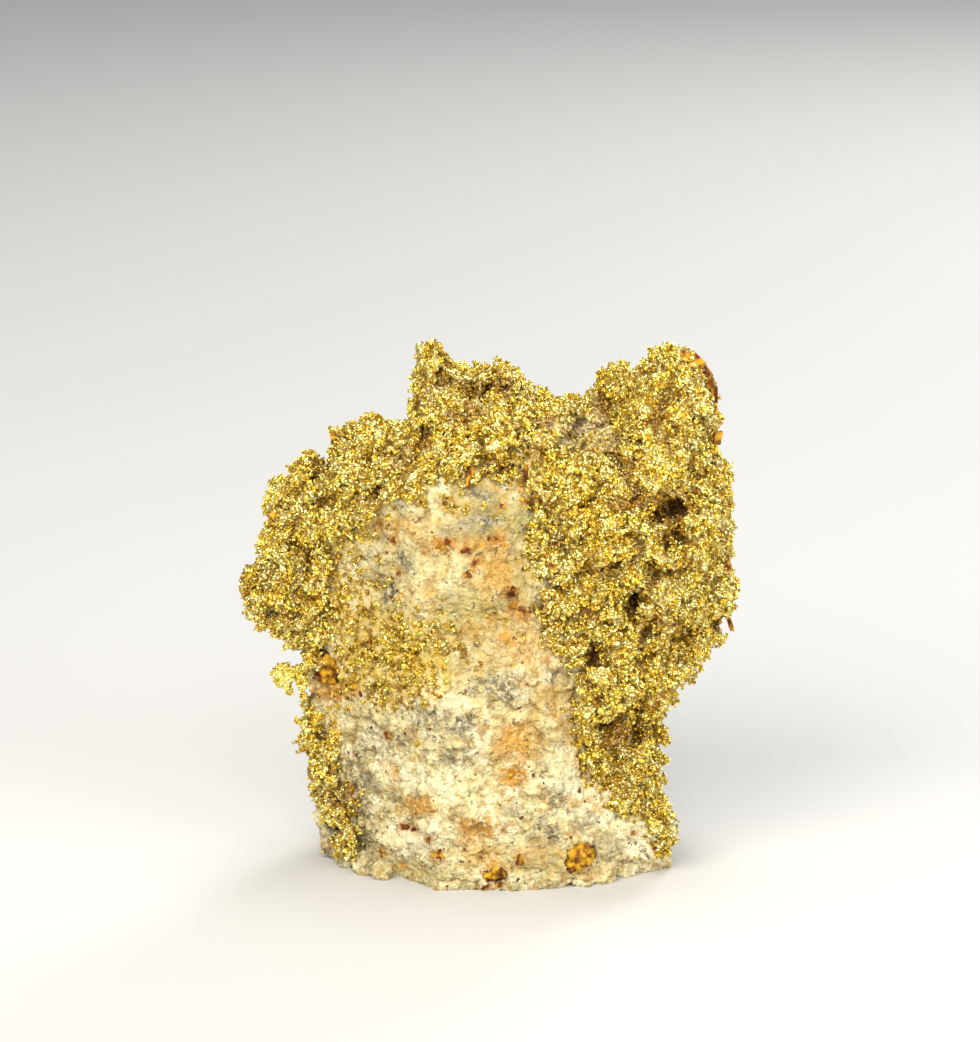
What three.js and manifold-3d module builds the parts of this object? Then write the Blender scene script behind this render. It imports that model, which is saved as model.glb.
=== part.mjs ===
// Native gold on quartz: a cabinet specimen about 60 mm tall, in millimetres, +Z up, front towards -Y.
// A column of milky vein quartz stands on its flat sawn base. Spongy crystallised gold covers its right
// side from top to foot, runs over its top as a ragged crest and hangs on its left as a lobe.
// The origin is the middle of the resting face.

import * as THREE from 'three';
import { mergeVertices } from 'three/addons/utils/BufferGeometryUtils.js';
import { ImprovedNoise } from 'three/addons/math/ImprovedNoise.js';
import Module from 'manifold-3d';

const wasm = await Module();
wasm.setup();

// Driving dimensions
const SEAM_GAP = 0.42; // clear space left between two pieces that touch
const CRUST_THICKNESS = 0.9;
const QUARTZ_RELIEF = { height: 0.65, length: 6 }; // broken relief of the fracture faces
const GOLD_RELIEF = { height: 1.4, length: 4.4 }; // domes and creases of the spongy gold
const SEEDS = { quartzKnobs: 41, hollows: 43, limonite: 47, rim: 53, mass: 59, sprig: 61, crust: 67 };

// Outlines of the quartz from above, one for each height, as corners from the left edge round by the
// front: left front, front left, front right, right front, right, back right, back left, left back
const QUARTZ_OUTLINES = [
  [0, [
    [-16.2, -1.5], [-5.6, -12.4], [5.5, -12.3], [13.5, -6.5],
    [17, 0], [13, 7.5], [-10, 9.5], [-16.4, 4.5],
  ]],
  [1.3, [
    [-17.7, -0.9], [-5.8, -12.8], [7, -12.5], [18, -7.5],
    [19.3, -2], [14.5, 7.2], [-11, 10], [-17.6, 4.8],
  ]],
  [4.2, [
    [-18.3, -1.4], [-6, -12.9], [8.2, -12.4], [18.4, -7.9],
    [19.7, -2.5], [14.5, 6.7], [-12, 10.3], [-18.3, 5],
  ]],
  [7.4, [
    [-18.9, -1.8], [-6.3, -12.8], [8.8, -12.2], [17.4, -7.7],
    [18.4, -2.5], [14, 6.5], [-13, 10.4], [-19, 5.2],
  ]],
  [9.6, [
    [-19.1, -1.9], [-6.5, -12.7], [8.6, -12.1], [14.4, -8],
    [16, -2], [13.6, 6.5], [-13, 10.4], [-19.1, 5.2],
  ]],
  [12.4, [
    [-19.2, -2], [-6.6, -12.6], [7.6, -12], [11.6, -8.2],
    [13.4, -1.6], [13, 6.5], [-13, 10.5], [-19.3, 5.1],
  ]],
  [20, [
    [-19.4, -2.3], [-6.9, -12.3], [6.4, -11.9], [10.7, -8.4],
    [12.8, -1], [12.5, 6.5], [-13.2, 10.6], [-19.5, 5],
  ]],
  [23.5, [
    [-19.4, -2.4], [-7.2, -12], [6, -11.7], [11.3, -8.4],
    [12.6, -0.8], [12.2, 6.6], [-13, 10.6], [-19.5, 5],
  ]],
  [27.6, [
    [-19.4, -2.5], [-7.6, -11.4], [4.6, -11.4], [9.2, -8.5],
    [12, -0.4], [12, 6.7], [-12.8, 10.4], [-19.4, 5],
  ]],
  [31, [
    [-19.4, -2.6], [-7.8, -11], [3.2, -11.2], [6, -8.6],
    [11.3, 0], [11.7, 6.8], [-12.4, 10.2], [-19.3, 5],
  ]],
  [38.6, [
    [-19.3, -2.7], [-8, -10.4], [2.6, -10.6], [5.8, -8.4],
    [11, 0.4], [11.6, 6.6], [-12, 10], [-19, 5],
  ]],
  [43, [
    [-16.4, -4], [-8.5, -9.7], [2.2, -10], [5, -8],
    [10.6, 0.4], [11.4, 6.4], [-10, 9.4], [-16, 5],
  ]],
  [46, [
    [-12.5, -4.6], [-8, -8.6], [2, -9.3], [4.4, -7.6],
    [10.2, 0.4], [11, 6], [-8, 8.6], [-12, 4.6],
  ]],
  [48, [
    [-8.5, -4.4], [-6, -7], [1.6, -7.8], [3.6, -6.4],
    [9.6, 0.6], [10.4, 5.4], [-5, 7.2], [-8, 4],
  ]],
  [49.5, [
    [-3, -2.5], [-2, -4.2], [0.8, -4.6], [2, -4],
    [7.5, 0.8], [8.2, 3.8], [0, 4.6], [-2.5, 2.4],
  ]],
];

// Outlines of the thick gold on the right: inside, front left, front, front right, right, right back,
// back, back left. The inner corners lie within the quartz, which cuts them away.
const RIGHT_GOLD_OUTLINES = [
  [2.4, [
    [17.6, -1], [18.8, -4.6], [19.6, -4.4], [20.2, -3.6],
    [20.5, -2], [20.3, 0], [19.4, 2], [18, 1.6],
  ]],
  [4.4, [
    [16, -1], [18.3, -6], [19.3, -5.9], [20.3, -5],
    [20.9, -2.5], [20.7, 1], [19.2, 4.5], [15, 5],
  ]],
  [7.8, [
    [12, 0], [16.6, -7.7], [17.8, -7.6], [19, -6],
    [19.5, -3], [19.5, 1], [18, 5], [13, 6.6],
  ]],
  [10, [
    [10, 0], [14.2, -8.5], [16, -8.1], [18.4, -6],
    [19, -3], [19, 1.5], [17, 5.6], [12.4, 7.2],
  ]],
  [13, [
    [8, 0], [11.4, -8.7], [14, -8.3], [18.2, -6],
    [18.9, -2], [18.8, 2.5], [16, 6.2], [11.5, 7.6],
  ]],
  [17.6, [
    [8, 0], [10.7, -8.9], [14, -8.1], [18, -6.2],
    [19.2, -2], [19, 3], [16, 7], [11, 8],
  ]],
  [19, [
    [8, 0], [10.4, -9.5], [14, -10.9], [18.8, -8.7],
    [20.2, -2.5], [20, 3.5], [16, 7.6], [10.5, 8.2],
  ]],
  [22.5, [
    [8, 0], [9.8, -9.7], [13.6, -11.1], [20.4, -9],
    [22.8, -2.5], [22.4, 3.5], [17, 8.2], [10.5, 8.6],
  ]],
  [25.5, [
    [8, 0], [10.6, -9.3], [14.4, -10.9], [22, -8.7],
    [25, -2.5], [24.4, 3.8], [18, 8.8], [10.5, 9],
  ]],
  [31, [
    [5, 1], [5.5, -9.8], [11, -11.2], [22.6, -9],
    [26.9, -2.5], [26, 4], [18, 9.2], [9.4, 9.2],
  ]],
  [36, [
    [4, 1], [5.5, -9.8], [11, -11.1], [22.6, -8.8],
    [26.3, -2.5], [25.8, 4], [18, 9.2], [9, 9],
  ]],
  [40, [
    [4, 1], [5.1, -9.6], [10.5, -10.9], [22.8, -8.6],
    [27, -2.4], [26.2, 4], [18, 9], [9, 8.8],
  ]],
  [44, [
    [4, 1], [4.6, -9.2], [9.6, -10.2], [21.8, -8],
    [26, -2.4], [25.2, 3.8], [18, 8.2], [9, 8],
  ]],
  [46.2, [
    [5, 2], [5.6, -7.8], [10, -9], [21.6, -7.6],
    [25.5, -2.2], [24.9, 3.6], [17.6, 7.6], [10, 7],
  ]],
  [47.4, [
    [11.6, -2], [6.6, -7.6], [10, -8.8], [21.5, -7.4],
    [25.4, -2.2], [24.8, 3.5], [17.8, 7.2], [12.6, 5.4],
  ]],
  [48.8, [
    [12, -2], [8.6, -6.8], [11, -7.8], [21.3, -6.9],
    [25.2, -2], [24.6, 3.4], [18, 6.8], [13.2, 5],
  ]],
  [50, [
    [12.8, 1], [13.2, -3.4], [15.2, -6.2], [21.2, -6.4],
    [25.1, -2], [24.6, 3.3], [18, 6.4], [13.8, 5],
  ]],
  [53, [
    [14.2, 0.6], [14.8, -2.8], [16.8, -5], [21.4, -5.2],
    [24.7, -1.6], [24.2, 3], [19, 5.2], [15.4, 3.8],
  ]],
  [56, [
    [16.4, 0.4], [17, -2.2], [18.6, -3.8], [21.4, -3.9],
    [23.6, -1.2], [23, 2.4], [19.6, 3.8], [17.4, 2.8],
  ]],
  [57.8, [
    [17.6, 0.2], [18.2, -1.2], [19.2, -2.2], [21.2, -2.2],
    [22.4, -0.8], [21.9, 1.4], [20, 2.2], [18.6, 1.6],
  ]],
];

// Outlines of the gold lobe on the left: inner back, back, left back, left, front, inner front
const LEFT_GOLD_OUTLINES = [
  [24, [[-19.3, 2], [-20.4, 2.8], [-21.1, 1.4], [-21.3, -1], [-20.6, -2.8], [-19.5, -2.4]]],
  [26, [[-18, 4], [-21.4, 4.4], [-23.9, 2], [-24.3, -1.5], [-22, -4], [-18.6, -3.4]]],
  [28.6, [[-18, 4], [-22, 5], [-25.9, 2.4], [-26.3, -1.5], [-22.4, -4.8], [-18.5, -3.8]]],
  [31, [[-18, 4], [-22, 5.4], [-26.7, 2.6], [-27.2, -1.5], [-22.6, -5.2], [-18.5, -3.8]]],
  [34, [[-18, 4], [-22, 5.4], [-26, 2.6], [-26.4, -1.5], [-22.4, -5], [-18.5, -3.8]]],
  [38.4, [[-17, 4], [-21.6, 5], [-24.2, 2.6], [-24.6, -1.5], [-21.8, -4.7], [-18, -3.8]]],
  [42, [[-16, 4], [-21, 4.6], [-24, 2.4], [-24.5, -1.2], [-21.4, -4.4], [-16, -4]]],
  [44, [[-17, 3], [-20.4, 3.8], [-22.8, 2], [-23.1, -1], [-20.6, -3.8], [-17, -3]]],
  [46.6, [[-19, 1], [-20, 1.8], [-21, 1], [-21.2, -0.6], [-20, -1.8], [-19, -1]]],
];

// Outlines of the gold crest in slices across the specimen, one for each x, as corners (depth, height):
// front low, back low, back, top back, top front, front. The low corners lie within the quartz.
const CREST_OUTLINES = [
  [-19.6, [[-3.6, 39.8], [3, 40], [3.4, 43], [1, 45], [-1.4, 45], [-3.8, 43]]],
  [-18.2, [[-5.2, 38.8], [4, 40], [4.4, 44], [1.2, 46.4], [-1.4, 46.4], [-5.2, 43.6]]],
  [-17.6, [[-5.6, 38.6], [4.2, 40], [4.6, 45], [1.4, 49], [-1.4, 49], [-5.7, 44.2]]],
  [-15.5, [[-6.8, 40.4], [4.6, 41], [4.8, 46], [2, 50.2], [-2, 50.2], [-6.6, 46]]],
  [-12.5, [[-8.4, 43], [5, 43], [5, 47], [2.2, 50.5], [-2.2, 50.5], [-7.4, 47.2]]],
  [-10.3, [[-9, 44.8], [5, 45], [4.6, 48], [1.6, 49], [-2, 49], [-7.8, 47.6]]],
  [-8.7, [[-9.2, 45.4], [5, 45], [4.4, 49], [2.4, 52], [-2.2, 52], [-7.6, 48.4]]],
  [-8.2, [[-9.3, 45.8], [5, 46], [4.4, 50], [2.2, 57.4], [-1.8, 57.4], [-7, 49.4]]],
  [-7, [[-9.4, 46], [5, 46], [4.4, 51], [2, 59], [-1.6, 59], [-6.6, 50.5]]],
  [-4.8, [[-9.4, 46.4], [5, 46], [4.4, 51], [1.8, 58.2], [-1.8, 58.2], [-6.4, 51]]],
  [-3, [[-9.4, 46.6], [5, 46], [4.6, 51], [2, 56], [-2.2, 56], [-6.2, 51.5]]],
  [0, [[-9.4, 47], [5, 46], [4.8, 51], [1.6, 56.7], [-2, 56.7], [-6, 52]]],
  [2.6, [[-9.2, 47.4], [5, 46], [5, 51], [1.8, 56.2], [-1.6, 56.2], [-5.6, 51.6]]],
  [4.4, [[-8, 47], [5, 46], [5.2, 51], [2, 55.2], [-1, 55.2], [-5, 51]]],
  [5.6, [[-6, 46.6], [6, 46], [6, 51.4], [4, 53.2], [1, 53.2], [-3.4, 50.6]]],
  [7.4, [[2.8, 47], [7, 46], [7.4, 50.6], [6.4, 51.7], [4, 51.7], [2.8, 50.4]]],
  [10.5, [[3.2, 47], [7.2, 46], [7.4, 50.4], [6.2, 51.5], [4, 51.5], [3.2, 50.4]]],
  [12.2, [[0.6, 48], [6.4, 47], [6.6, 51], [4.6, 53.6], [1.8, 53.6], [0.4, 51]]],
  [13.2, [[-1, 50], [5, 49], [5, 52], [3, 56], [0.2, 56], [-1.4, 52]]],
  [15, [[-2, 50], [4, 49], [4, 52], [2.2, 55.8], [-0.4, 55.8], [-2, 52]]],
  [16.8, [[-2, 50], [3.6, 50], [3.6, 52], [2, 54.4], [-0.6, 54.4], [-2, 52]]],
];

// Knobs on the skyline of the gold: x, y, z, radius
const SKYLINE_KNOBS = [
  [-8.4, 0, 57.2, 1.3],
  [-6.9, 0.3, 58.6, 1.4],
  [-5.2, 0, 57.8, 1.3],
  [-1.4, 0, 55.9, 1.3],
  [0.4, -0.4, 56.4, 1.3],
  [2.3, 0, 56, 1.3],
  [3.8, 0.2, 55, 1.2],
  [6.6, 2.6, 52.7, 1],
  [13.3, 1.4, 56.2, 1.2],
  [14.6, 0.8, 55.8, 1.3],
  [17.6, -0.4, 57.2, 1.4],
  [21.2, 0.2, 57.9, 1.4],
  [25, -1, 51.2, 1],
  [25.6, -1.6, 45.2, 1.1],
  [-11.6, -0.6, 49.4, 1.2],
  [-13.4, 0.6, 50.2, 1.3],
  [-17.3, 0, 48.3, 1.2],
  [-20, 0, 46.2, 1.2],
  [-24.1, -1, 41.6, 1.4],
  [-26.4, -1, 31.4, 1.5],
];

// Pits and clefts in the gold: x, y, z, radius, stretch in height
const GOLD_PITS = [
  [19.5, -9.4, 41.8, 1.9, 0.8],
  [20.2, -9.2, 38.8, 1.2, 1],
  [15.6, -10.4, 31.6, 1.6, 1.3],
  [17.2, -10, 28.4, 1.1, 1],
  [20.6, -9, 25.4, 1.1, 0.8],
  [11, -9.6, 25.4, 1.4, 1.2],
  [16.5, -7.4, 16.8, 1, 2.2],
  [9.6, -10.6, 38.9, 1, 0.8],
  [16, -9.6, 45.2, 0.9, 2],
  [18.6, 9.4, 33, 1.7, 1],
  [14.6, 9, 23.4, 1.4, 1.4],
  [0.2, -4.2, 54.6, 1.2, 0.7],
];
const PIT_STRETCH_Y = 1.6;

// Knobs of quartz on the foot that stand proud of its front: across, height, radius
const QUARTZ_KNOBS = [
  [16.2, 6.7, 1.4],
  [17.7, 5, 1.4],
  [14.6, 5.8, 1.5],
  [17.4, 2.9, 1.3],
];
const KNOB_SINK = 0.7; // depth of a knob's middle below the quartz face

// Open hollows in the front of the quartz: across, height, radius
const QUARTZ_HOLLOWS = [
  [-1.5, 7.1, 1.3],
  [2, 33, 1.4],
  [-8.8, 6.4, 0.9],
  [-13.4, 21, 0.9],
  [-9.6, 17.4, 0.8],
];
const HOLLOW_RISE = 0.4; // height of a hollow's middle above the quartz face

// Iron oxide that fills pockets of the quartz front: name, across, height, radius, width, height
const LIMONITE_POCKETS = [
  ['limonite_foot_pocket', 9.6, 3.6, 1.5, 1.1, 0.9],
  ['limonite_front_pocket', 0.5, 1.9, 0.95, 1.1, 0.7],
  ['limonite_left_pocket', -17.6, 22.8, 1.3, 1.1, 1.1],
];
const POCKET_SINK = 0.9; // depth of a pocket's middle below the quartz face

// Gold string down the lower left edge: x, y, z, radius
const RIM_LUMPS = [
  [-20.6, -2, 17.3, 1],
  [-20.2, -2.2, 15.4, 1.3],
  [-18.6, -3, 14, 1.5],
  [-19.8, -2.3, 12, 1.5],
  [-17.8, -3.6, 11.6, 1.5],
  [-18.6, -3, 9.4, 1.7],
  [-17.2, -4, 8, 1.4],
  [-18.6, -2.9, 7, 1.3],
  [-17.1, -4.1, 5.6, 1.5],
  [-16.4, -4.5, 3.8, 1.2],
  [-15.4, -5.4, 2.4, 1],
];

// Lacy branch on the left edge: x, y, z, radius
const SPRIG_LUMPS = [
  [-20.8, -1.6, 22.4, 0.95],
  [-21.2, -1.8, 21.2, 0.8],
  [-20.9, -1.8, 19.9, 0.65],
  [-20.8, -1.8, 18.9, 0.45],
  [-22, -1.8, 22, 0.75],
  [-22.9, -2, 22.5, 0.7],
  [-23.7, -2, 22, 0.7],
  [-23.8, -2, 21.1, 0.65],
  [-23.1, -2, 20.7, 0.68],
  [-22.4, -2, 20.5, 0.6],
  [-22.2, -2, 19.8, 0.42],
];

// Crust of gold on the quartz front: corners of its outline and its knobs, across and height
const CRUST_OUTLINE = [
  [-16.9, 26.6],
  [-15.9, 29.8],
  [-12, 31],
  [-6, 30.6],
  [-4.4, 28],
  [-6, 25.2],
  [-7.2, 21.8],
  [-11.6, 21],
  [-13.8, 22.6],
  [-15.4, 25],
];
const CRUST_DEPTH = 16; // reach of the outline through the quartz face
const CRUST_KNOBS = [
  [-14, 28.6],
  [-12.2, 26.6],
  [-9.8, 28.6],
  [-7.4, 27],
  [-11, 23.6],
  [-8.8, 24],
  [-14.9, 26.6],
  [-6.4, 29],
];
const CRUST_KNOB_RADIUS = 1.2;

const noise = new ImprovedNoise();

// Even numbers between 0 and 1 that are the same on every run
function seededRandom(seed) {
  let state = seed;
  return () => {
    state = (state * 16807) % 2147483647;
    return state / 2147483647;
  };
}

function welded(geometry) {
  geometry.deleteAttribute('normal');
  geometry.deleteAttribute('uv');
  return mergeVertices(geometry, 1e-4);
}

function solidOf(geometry) {
  return new wasm.Manifold(new wasm.Mesh({
    numProp: 3,
    vertProperties: new Float32Array(geometry.getAttribute('position').array),
    triVerts: new Uint32Array(geometry.getIndex().array),
  }));
}

function unionOf(solids) {
  return solids.reduce((whole, solid) => whole.add(solid));
}

// A ball of flat facets, turned at random so that no two lumps show the same face
function lump([x, y, z], radius, random, { detail = 0, stretch = [1, 1, 1] } = {}) {
  const geometry = welded(new THREE.IcosahedronGeometry(radius, detail));
  geometry.rotateX(random() * Math.PI);
  geometry.rotateZ(random() * Math.PI);
  geometry.scale(...stretch);
  geometry.translate(x, y, z);
  return solidOf(geometry);
}

// Moves the corners of an outline outwards, so that each of its sides moves by the same distance
function spread(corners, distance) {
  return corners.map((corner, i) => {
    const before = corners[(i + corners.length - 1) % corners.length];
    const after = corners[(i + 1) % corners.length];
    const into = new THREE.Vector2(corner[1] - before[1], before[0] - corner[0]).normalize();
    const out = new THREE.Vector2(after[1] - corner[1], corner[0] - after[0]).normalize();
    const share = distance / (1 + into.dot(out));
    return [corner[0] + (into.x + out.x) * share, corner[1] + (into.y + out.y) * share];
  });
}

function blend(from, to, share) {
  return from.map((value, i) => value + (to[i] - value) * share);
}

// The outline of a block at any height, between the two outlines that are given below and above it
function outlineAt(outlines, along) {
  const above = outlines.findIndex(([height]) => height > along);
  const next = above === -1 ? outlines.length - 1 : Math.max(1, above);
  const [lowAt, low] = outlines[next - 1];
  const [highAt, high] = outlines[next];
  return low.map((corner, i) => blend(corner, high[i], (along - lowAt) / (highAt - lowAt)));
}

// A closed block that follows its outlines: a lathe blank whose rings are pushed onto the outlines, with
// each side of an outline parted evenly. The relief pushes each point straight out from the middle.
// A lying block has its slices across x instead of one above the other.
function block(outlines, { rows, sideSteps, relief, grow = 0, capRise = 0, lying = false }) {
  const first = outlines[0][0];
  const last = outlines.at(-1)[0];
  const sides = outlines[0][1].length;
  const profile = [new THREE.Vector2(0, first)];
  for (let row = 0; row <= rows; row += 1) {
    profile.push(new THREE.Vector2(1, first + ((last - first) * row) / rows));
  }
  profile.push(new THREE.Vector2(0, last));
  const geometry = new THREE.LatheGeometry(profile, sides * sideSteps);
  const position = geometry.getAttribute('position');
  const place = new THREE.Vector3();
  for (let i = 0; i < position.count; i += 1) {
    const ringStep = Math.floor(i / profile.length) % (sides * sideSteps);
    const { x: ringRadius, y: along } = profile[i % profile.length];
    const corners = outlineAt(outlines, along);
    const middle = corners.reduce((sum, [a, b]) => [sum[0] + a / sides, sum[1] + b / sides], [0, 0]);
    const side = Math.floor(ringStep / sideSteps);
    const share = (ringStep % sideSteps) / sideSteps;
    const plain = blend(corners[side], corners[(side + 1) % sides], share);
    const grown = spread(corners, grow);
    const edge = blend(grown[side], grown[(side + 1) % sides], share);
    const outward = new THREE.Vector2(plain[0] - middle[0], plain[1] - middle[1]).normalize();
    place.set(plain[0], plain[1], along);
    const push = relief(...(lying ? [place.z, place.x, place.y] : place.toArray()));
    const rise = along === last ? capRise : 0;
    const lift = grow * THREE.MathUtils.smoothstep(along, (first + last) / 2, last);
    if (ringRadius === 0) {
      place.set(middle[0], middle[1], along + rise + lift);
    } else {
      place.set(edge[0] + outward.x * push, edge[1] + outward.y * push, along + lift);
    }
    position.setXYZ(i, ...(lying ? [place.z, place.x, place.y] : place.toArray()));
  }
  return solidOf(welded(geometry));
}

// Broken relief of vein quartz
function quartzRelief(x, y, z) {
  const { height, length } = QUARTZ_RELIEF;
  const broad = noise.noise(x / length + 7, y / length + 3, z / length + 5);
  const fine = noise.noise((2.3 * x) / length + 1, (2.3 * y) / length + 9, (2.3 * z) / length + 4);
  return 2 * height * broad + 0.8 * height * fine;
}

// A number between 0 and 1 that belongs to one cell of a grid
function cellNumber(a, b, c, kind) {
  let mixed = Math.imul(a, 374761393) + Math.imul(b, 668265263) + Math.imul(c, 974634777) + kind * 97;
  mixed = Math.imul(mixed ^ (mixed >>> 13), 1274126177);
  return ((mixed ^ (mixed >>> 16)) >>> 0) / 4294967295;
}

// Domes round scattered centres with creases between them, as on spongy gold
function goldRelief(x, y, z) {
  const { height, length } = GOLD_RELIEF;
  const scaled = [x / length, y / length, z / length];
  const cell = scaled.map(Math.floor);
  let nearest = Infinity;
  for (let i = 0; i < 27; i += 1) {
    const a = cell[0] - 1 + (i % 3);
    const b = cell[1] - 1 + (Math.floor(i / 3) % 3);
    const c = cell[2] - 1 + Math.floor(i / 9);
    const centre = [a, b, c].map((corner, axis) => corner + 0.15 + 0.7 * cellNumber(a, b, c, axis));
    nearest = Math.min(nearest, Math.hypot(...centre.map((value, axis) => value - scaled[axis])));
  }
  return height * (1 - 2.2 * Math.min(1, nearest) ** 2);
}

// Depth of the quartz face in front of a point, before its relief
function quartzFrontY(x, z) {
  const corners = outlineAt(QUARTZ_OUTLINES, z);
  const right = corners.findIndex(([cornerX], i) => i > 0 && cornerX >= x);
  const [fromX, fromY] = corners[right - 1];
  const [toX, toY] = corners[right];
  return fromY + ((toY - fromY) * (x - fromX)) / (toX - fromX);
}

function onQuartzFront(x, z, sink) {
  return [x, quartzFrontY(x, z) + sink, z];
}

function quartzBody(grow = 0) {
  const random = seededRandom(SEEDS.quartzKnobs);
  const knobs = QUARTZ_KNOBS.map(([x, z, radius]) => (
    lump(onQuartzFront(x, z, KNOB_SINK), radius + grow, random)
  ));
  return unionOf([block(QUARTZ_OUTLINES, { rows: 24, sideSteps: 4, relief: quartzRelief, grow }), ...knobs]);
}

function limoniteFilling([, x, z, radius, width, height], grow = 0) {
  const options = { detail: 1, stretch: [width, 1, height] };
  return lump(onQuartzFront(x, z, POCKET_SINK), radius + grow, seededRandom(SEEDS.limonite), options);
}

function quartzMatrix() {
  const random = seededRandom(SEEDS.hollows);
  const hollows = QUARTZ_HOLLOWS.map(([x, z, radius]) => (
    lump(onQuartzFront(x, z, -HOLLOW_RISE), radius, random)
  ));
  const pockets = LIMONITE_POCKETS.map((pocket) => limoniteFilling(pocket, SEAM_GAP));
  return quartzBody().subtract(unionOf([...hollows, ...pockets]));
}

// Keeps the largest of the bodies that a cut leaves and drops the crumbs
function largestBody(solid) {
  const bodies = solid.decompose();
  return bodies.reduce((largest, body) => (body.volume() > largest.volume() ? body : largest));
}

function goldMass(quartz) {
  const random = seededRandom(SEEDS.mass);
  const right = block(RIGHT_GOLD_OUTLINES, { rows: 31, sideSteps: 4, relief: goldRelief, capRise: 0.7 });
  const left = block(LEFT_GOLD_OUTLINES, { rows: 13, sideSteps: 3, relief: goldRelief, capRise: 0.5 });
  const crest = block(CREST_OUTLINES, { rows: 26, sideSteps: 3, relief: goldRelief, lying: true });
  const knobs = SKYLINE_KNOBS.map(([x, y, z, radius]) => lump([x, y, z], radius, random));
  const pits = GOLD_PITS.map(([x, y, z, radius, tall]) => (
    lump([x, y, z], radius, random, { stretch: [1, PIT_STRETCH_Y, tall] })
  ));
  return largestBody(unionOf([right, left, crest, ...knobs]).subtract(quartz).subtract(unionOf(pits)));
}

function chainOf(lumps, seed, quartz) {
  const random = seededRandom(seed);
  const solids = lumps.map(([x, y, z, radius]) => lump([x, y, z], radius, random));
  return largestBody(unionOf(solids).subtract(quartz));
}

function goldFaceCrust(quartz) {
  const random = seededRandom(SEEDS.crust);
  const outline = new THREE.Shape(CRUST_OUTLINE.map(([x, z]) => new THREE.Vector2(x, z)));
  const prism = new THREE.ExtrudeGeometry(outline, { depth: CRUST_DEPTH, bevelEnabled: false });
  prism.rotateX(Math.PI / 2);
  const sheet = quartzBody(SEAM_GAP + CRUST_THICKNESS).intersect(solidOf(welded(prism)));
  const knobs = CRUST_KNOBS.map(([x, z]) => (
    lump(onQuartzFront(x, z, -SEAM_GAP - CRUST_THICKNESS / 2), CRUST_KNOB_RADIUS, random)
  ));
  return largestBody(unionOf([sheet, ...knobs]).subtract(quartz));
}

function meshOf(name, solid, material) {
  const { vertProperties, triVerts, numProp } = solid.getMesh();
  const geometry = new THREE.BufferGeometry();
  const corners = [];
  for (const corner of triVerts) {
    corners.push(...vertProperties.slice(corner * numProp, corner * numProp + 3));
  }
  geometry.setAttribute('position', new THREE.Float32BufferAttribute(corners, 3));
  geometry.computeVertexNormals();
  const mesh = new THREE.Mesh(geometry, material);
  mesh.name = name;
  return mesh;
}

const quartzMaterial = new THREE.MeshStandardMaterial({ color: 0xe6d8ac, roughness: 0.55, metalness: 0 });
const goldMaterial = new THREE.MeshStandardMaterial({ color: 0xc9a548, roughness: 0.35, metalness: 1 });
const limoniteMaterial = new THREE.MeshStandardMaterial({ color: 0xb87420, roughness: 0.8, metalness: 0 });

const clearOfQuartz = quartzBody(SEAM_GAP);
const specimen = new THREE.Group();
specimen.add(meshOf('quartz_matrix', quartzMatrix(), quartzMaterial));
specimen.add(meshOf('gold_mass', goldMass(clearOfQuartz), goldMaterial));
specimen.add(meshOf('gold_left_rim', chainOf(RIM_LUMPS, SEEDS.rim, clearOfQuartz), goldMaterial));
specimen.add(meshOf('gold_sprig', chainOf(SPRIG_LUMPS, SEEDS.sprig, clearOfQuartz), goldMaterial));
specimen.add(meshOf('gold_face_crust', goldFaceCrust(clearOfQuartz), goldMaterial));
for (const pocket of LIMONITE_POCKETS) {
  specimen.add(meshOf(pocket[0], limoniteFilling(pocket), limoniteMaterial));
}

export default specimen;
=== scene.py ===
"""Native gold on milky vein quartz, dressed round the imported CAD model."""

import math

import bmesh
import bpy
import numpy as np
from bpy.props import FloatProperty, FloatVectorProperty, IntProperty, PointerProperty
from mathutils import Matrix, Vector
from mathutils.bvhtree import BVHTree


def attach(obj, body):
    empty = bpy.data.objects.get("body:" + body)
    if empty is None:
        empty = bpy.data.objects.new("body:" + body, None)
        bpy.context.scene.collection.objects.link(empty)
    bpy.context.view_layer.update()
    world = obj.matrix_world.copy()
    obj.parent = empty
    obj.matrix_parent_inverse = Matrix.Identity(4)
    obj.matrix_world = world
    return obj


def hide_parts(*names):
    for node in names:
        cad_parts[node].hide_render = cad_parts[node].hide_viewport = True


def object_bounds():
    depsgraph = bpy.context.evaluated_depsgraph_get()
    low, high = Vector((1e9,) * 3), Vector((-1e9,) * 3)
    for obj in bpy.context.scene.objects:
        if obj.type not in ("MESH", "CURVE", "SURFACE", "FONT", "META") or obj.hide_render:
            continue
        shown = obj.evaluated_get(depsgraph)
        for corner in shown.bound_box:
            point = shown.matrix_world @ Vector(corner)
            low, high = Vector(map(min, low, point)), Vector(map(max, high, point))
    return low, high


bl_info = {
    "name": "Gold on quartz specimen",
    "version": (1, 0, 0),
    "blender": (4, 5, 0),
    "location": "View3D > Sidebar > Specimen",
    "description": "Builds a cabinet specimen of crystallised native gold on vein quartz",
    "category": "Add Mesh",
}

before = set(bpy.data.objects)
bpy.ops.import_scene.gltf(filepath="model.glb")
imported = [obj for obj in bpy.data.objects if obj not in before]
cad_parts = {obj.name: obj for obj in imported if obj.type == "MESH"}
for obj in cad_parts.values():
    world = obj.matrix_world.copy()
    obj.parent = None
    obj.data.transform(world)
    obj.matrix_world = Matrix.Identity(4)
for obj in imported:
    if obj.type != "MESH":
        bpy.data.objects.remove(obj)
CAD_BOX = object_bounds()

MM = 0.001

# The picture plane, as millimetres across (x) and up it (v) at the object's distance
IMAGE_SIZE = (980, 1042)
MM_PER_PIXEL = 0.11
PICTURE_CENTRE_V = 40.9
FRONT_Y = -13.0
TILT_SIN, TILT_COS = math.sin(math.radians(15)), math.cos(math.radians(15))

# The y of the point that the camera looks at, and the height below which the quartz's foot is flat
TARGET_Y = -2.0
FLAT_FOOT = 0.2

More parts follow.
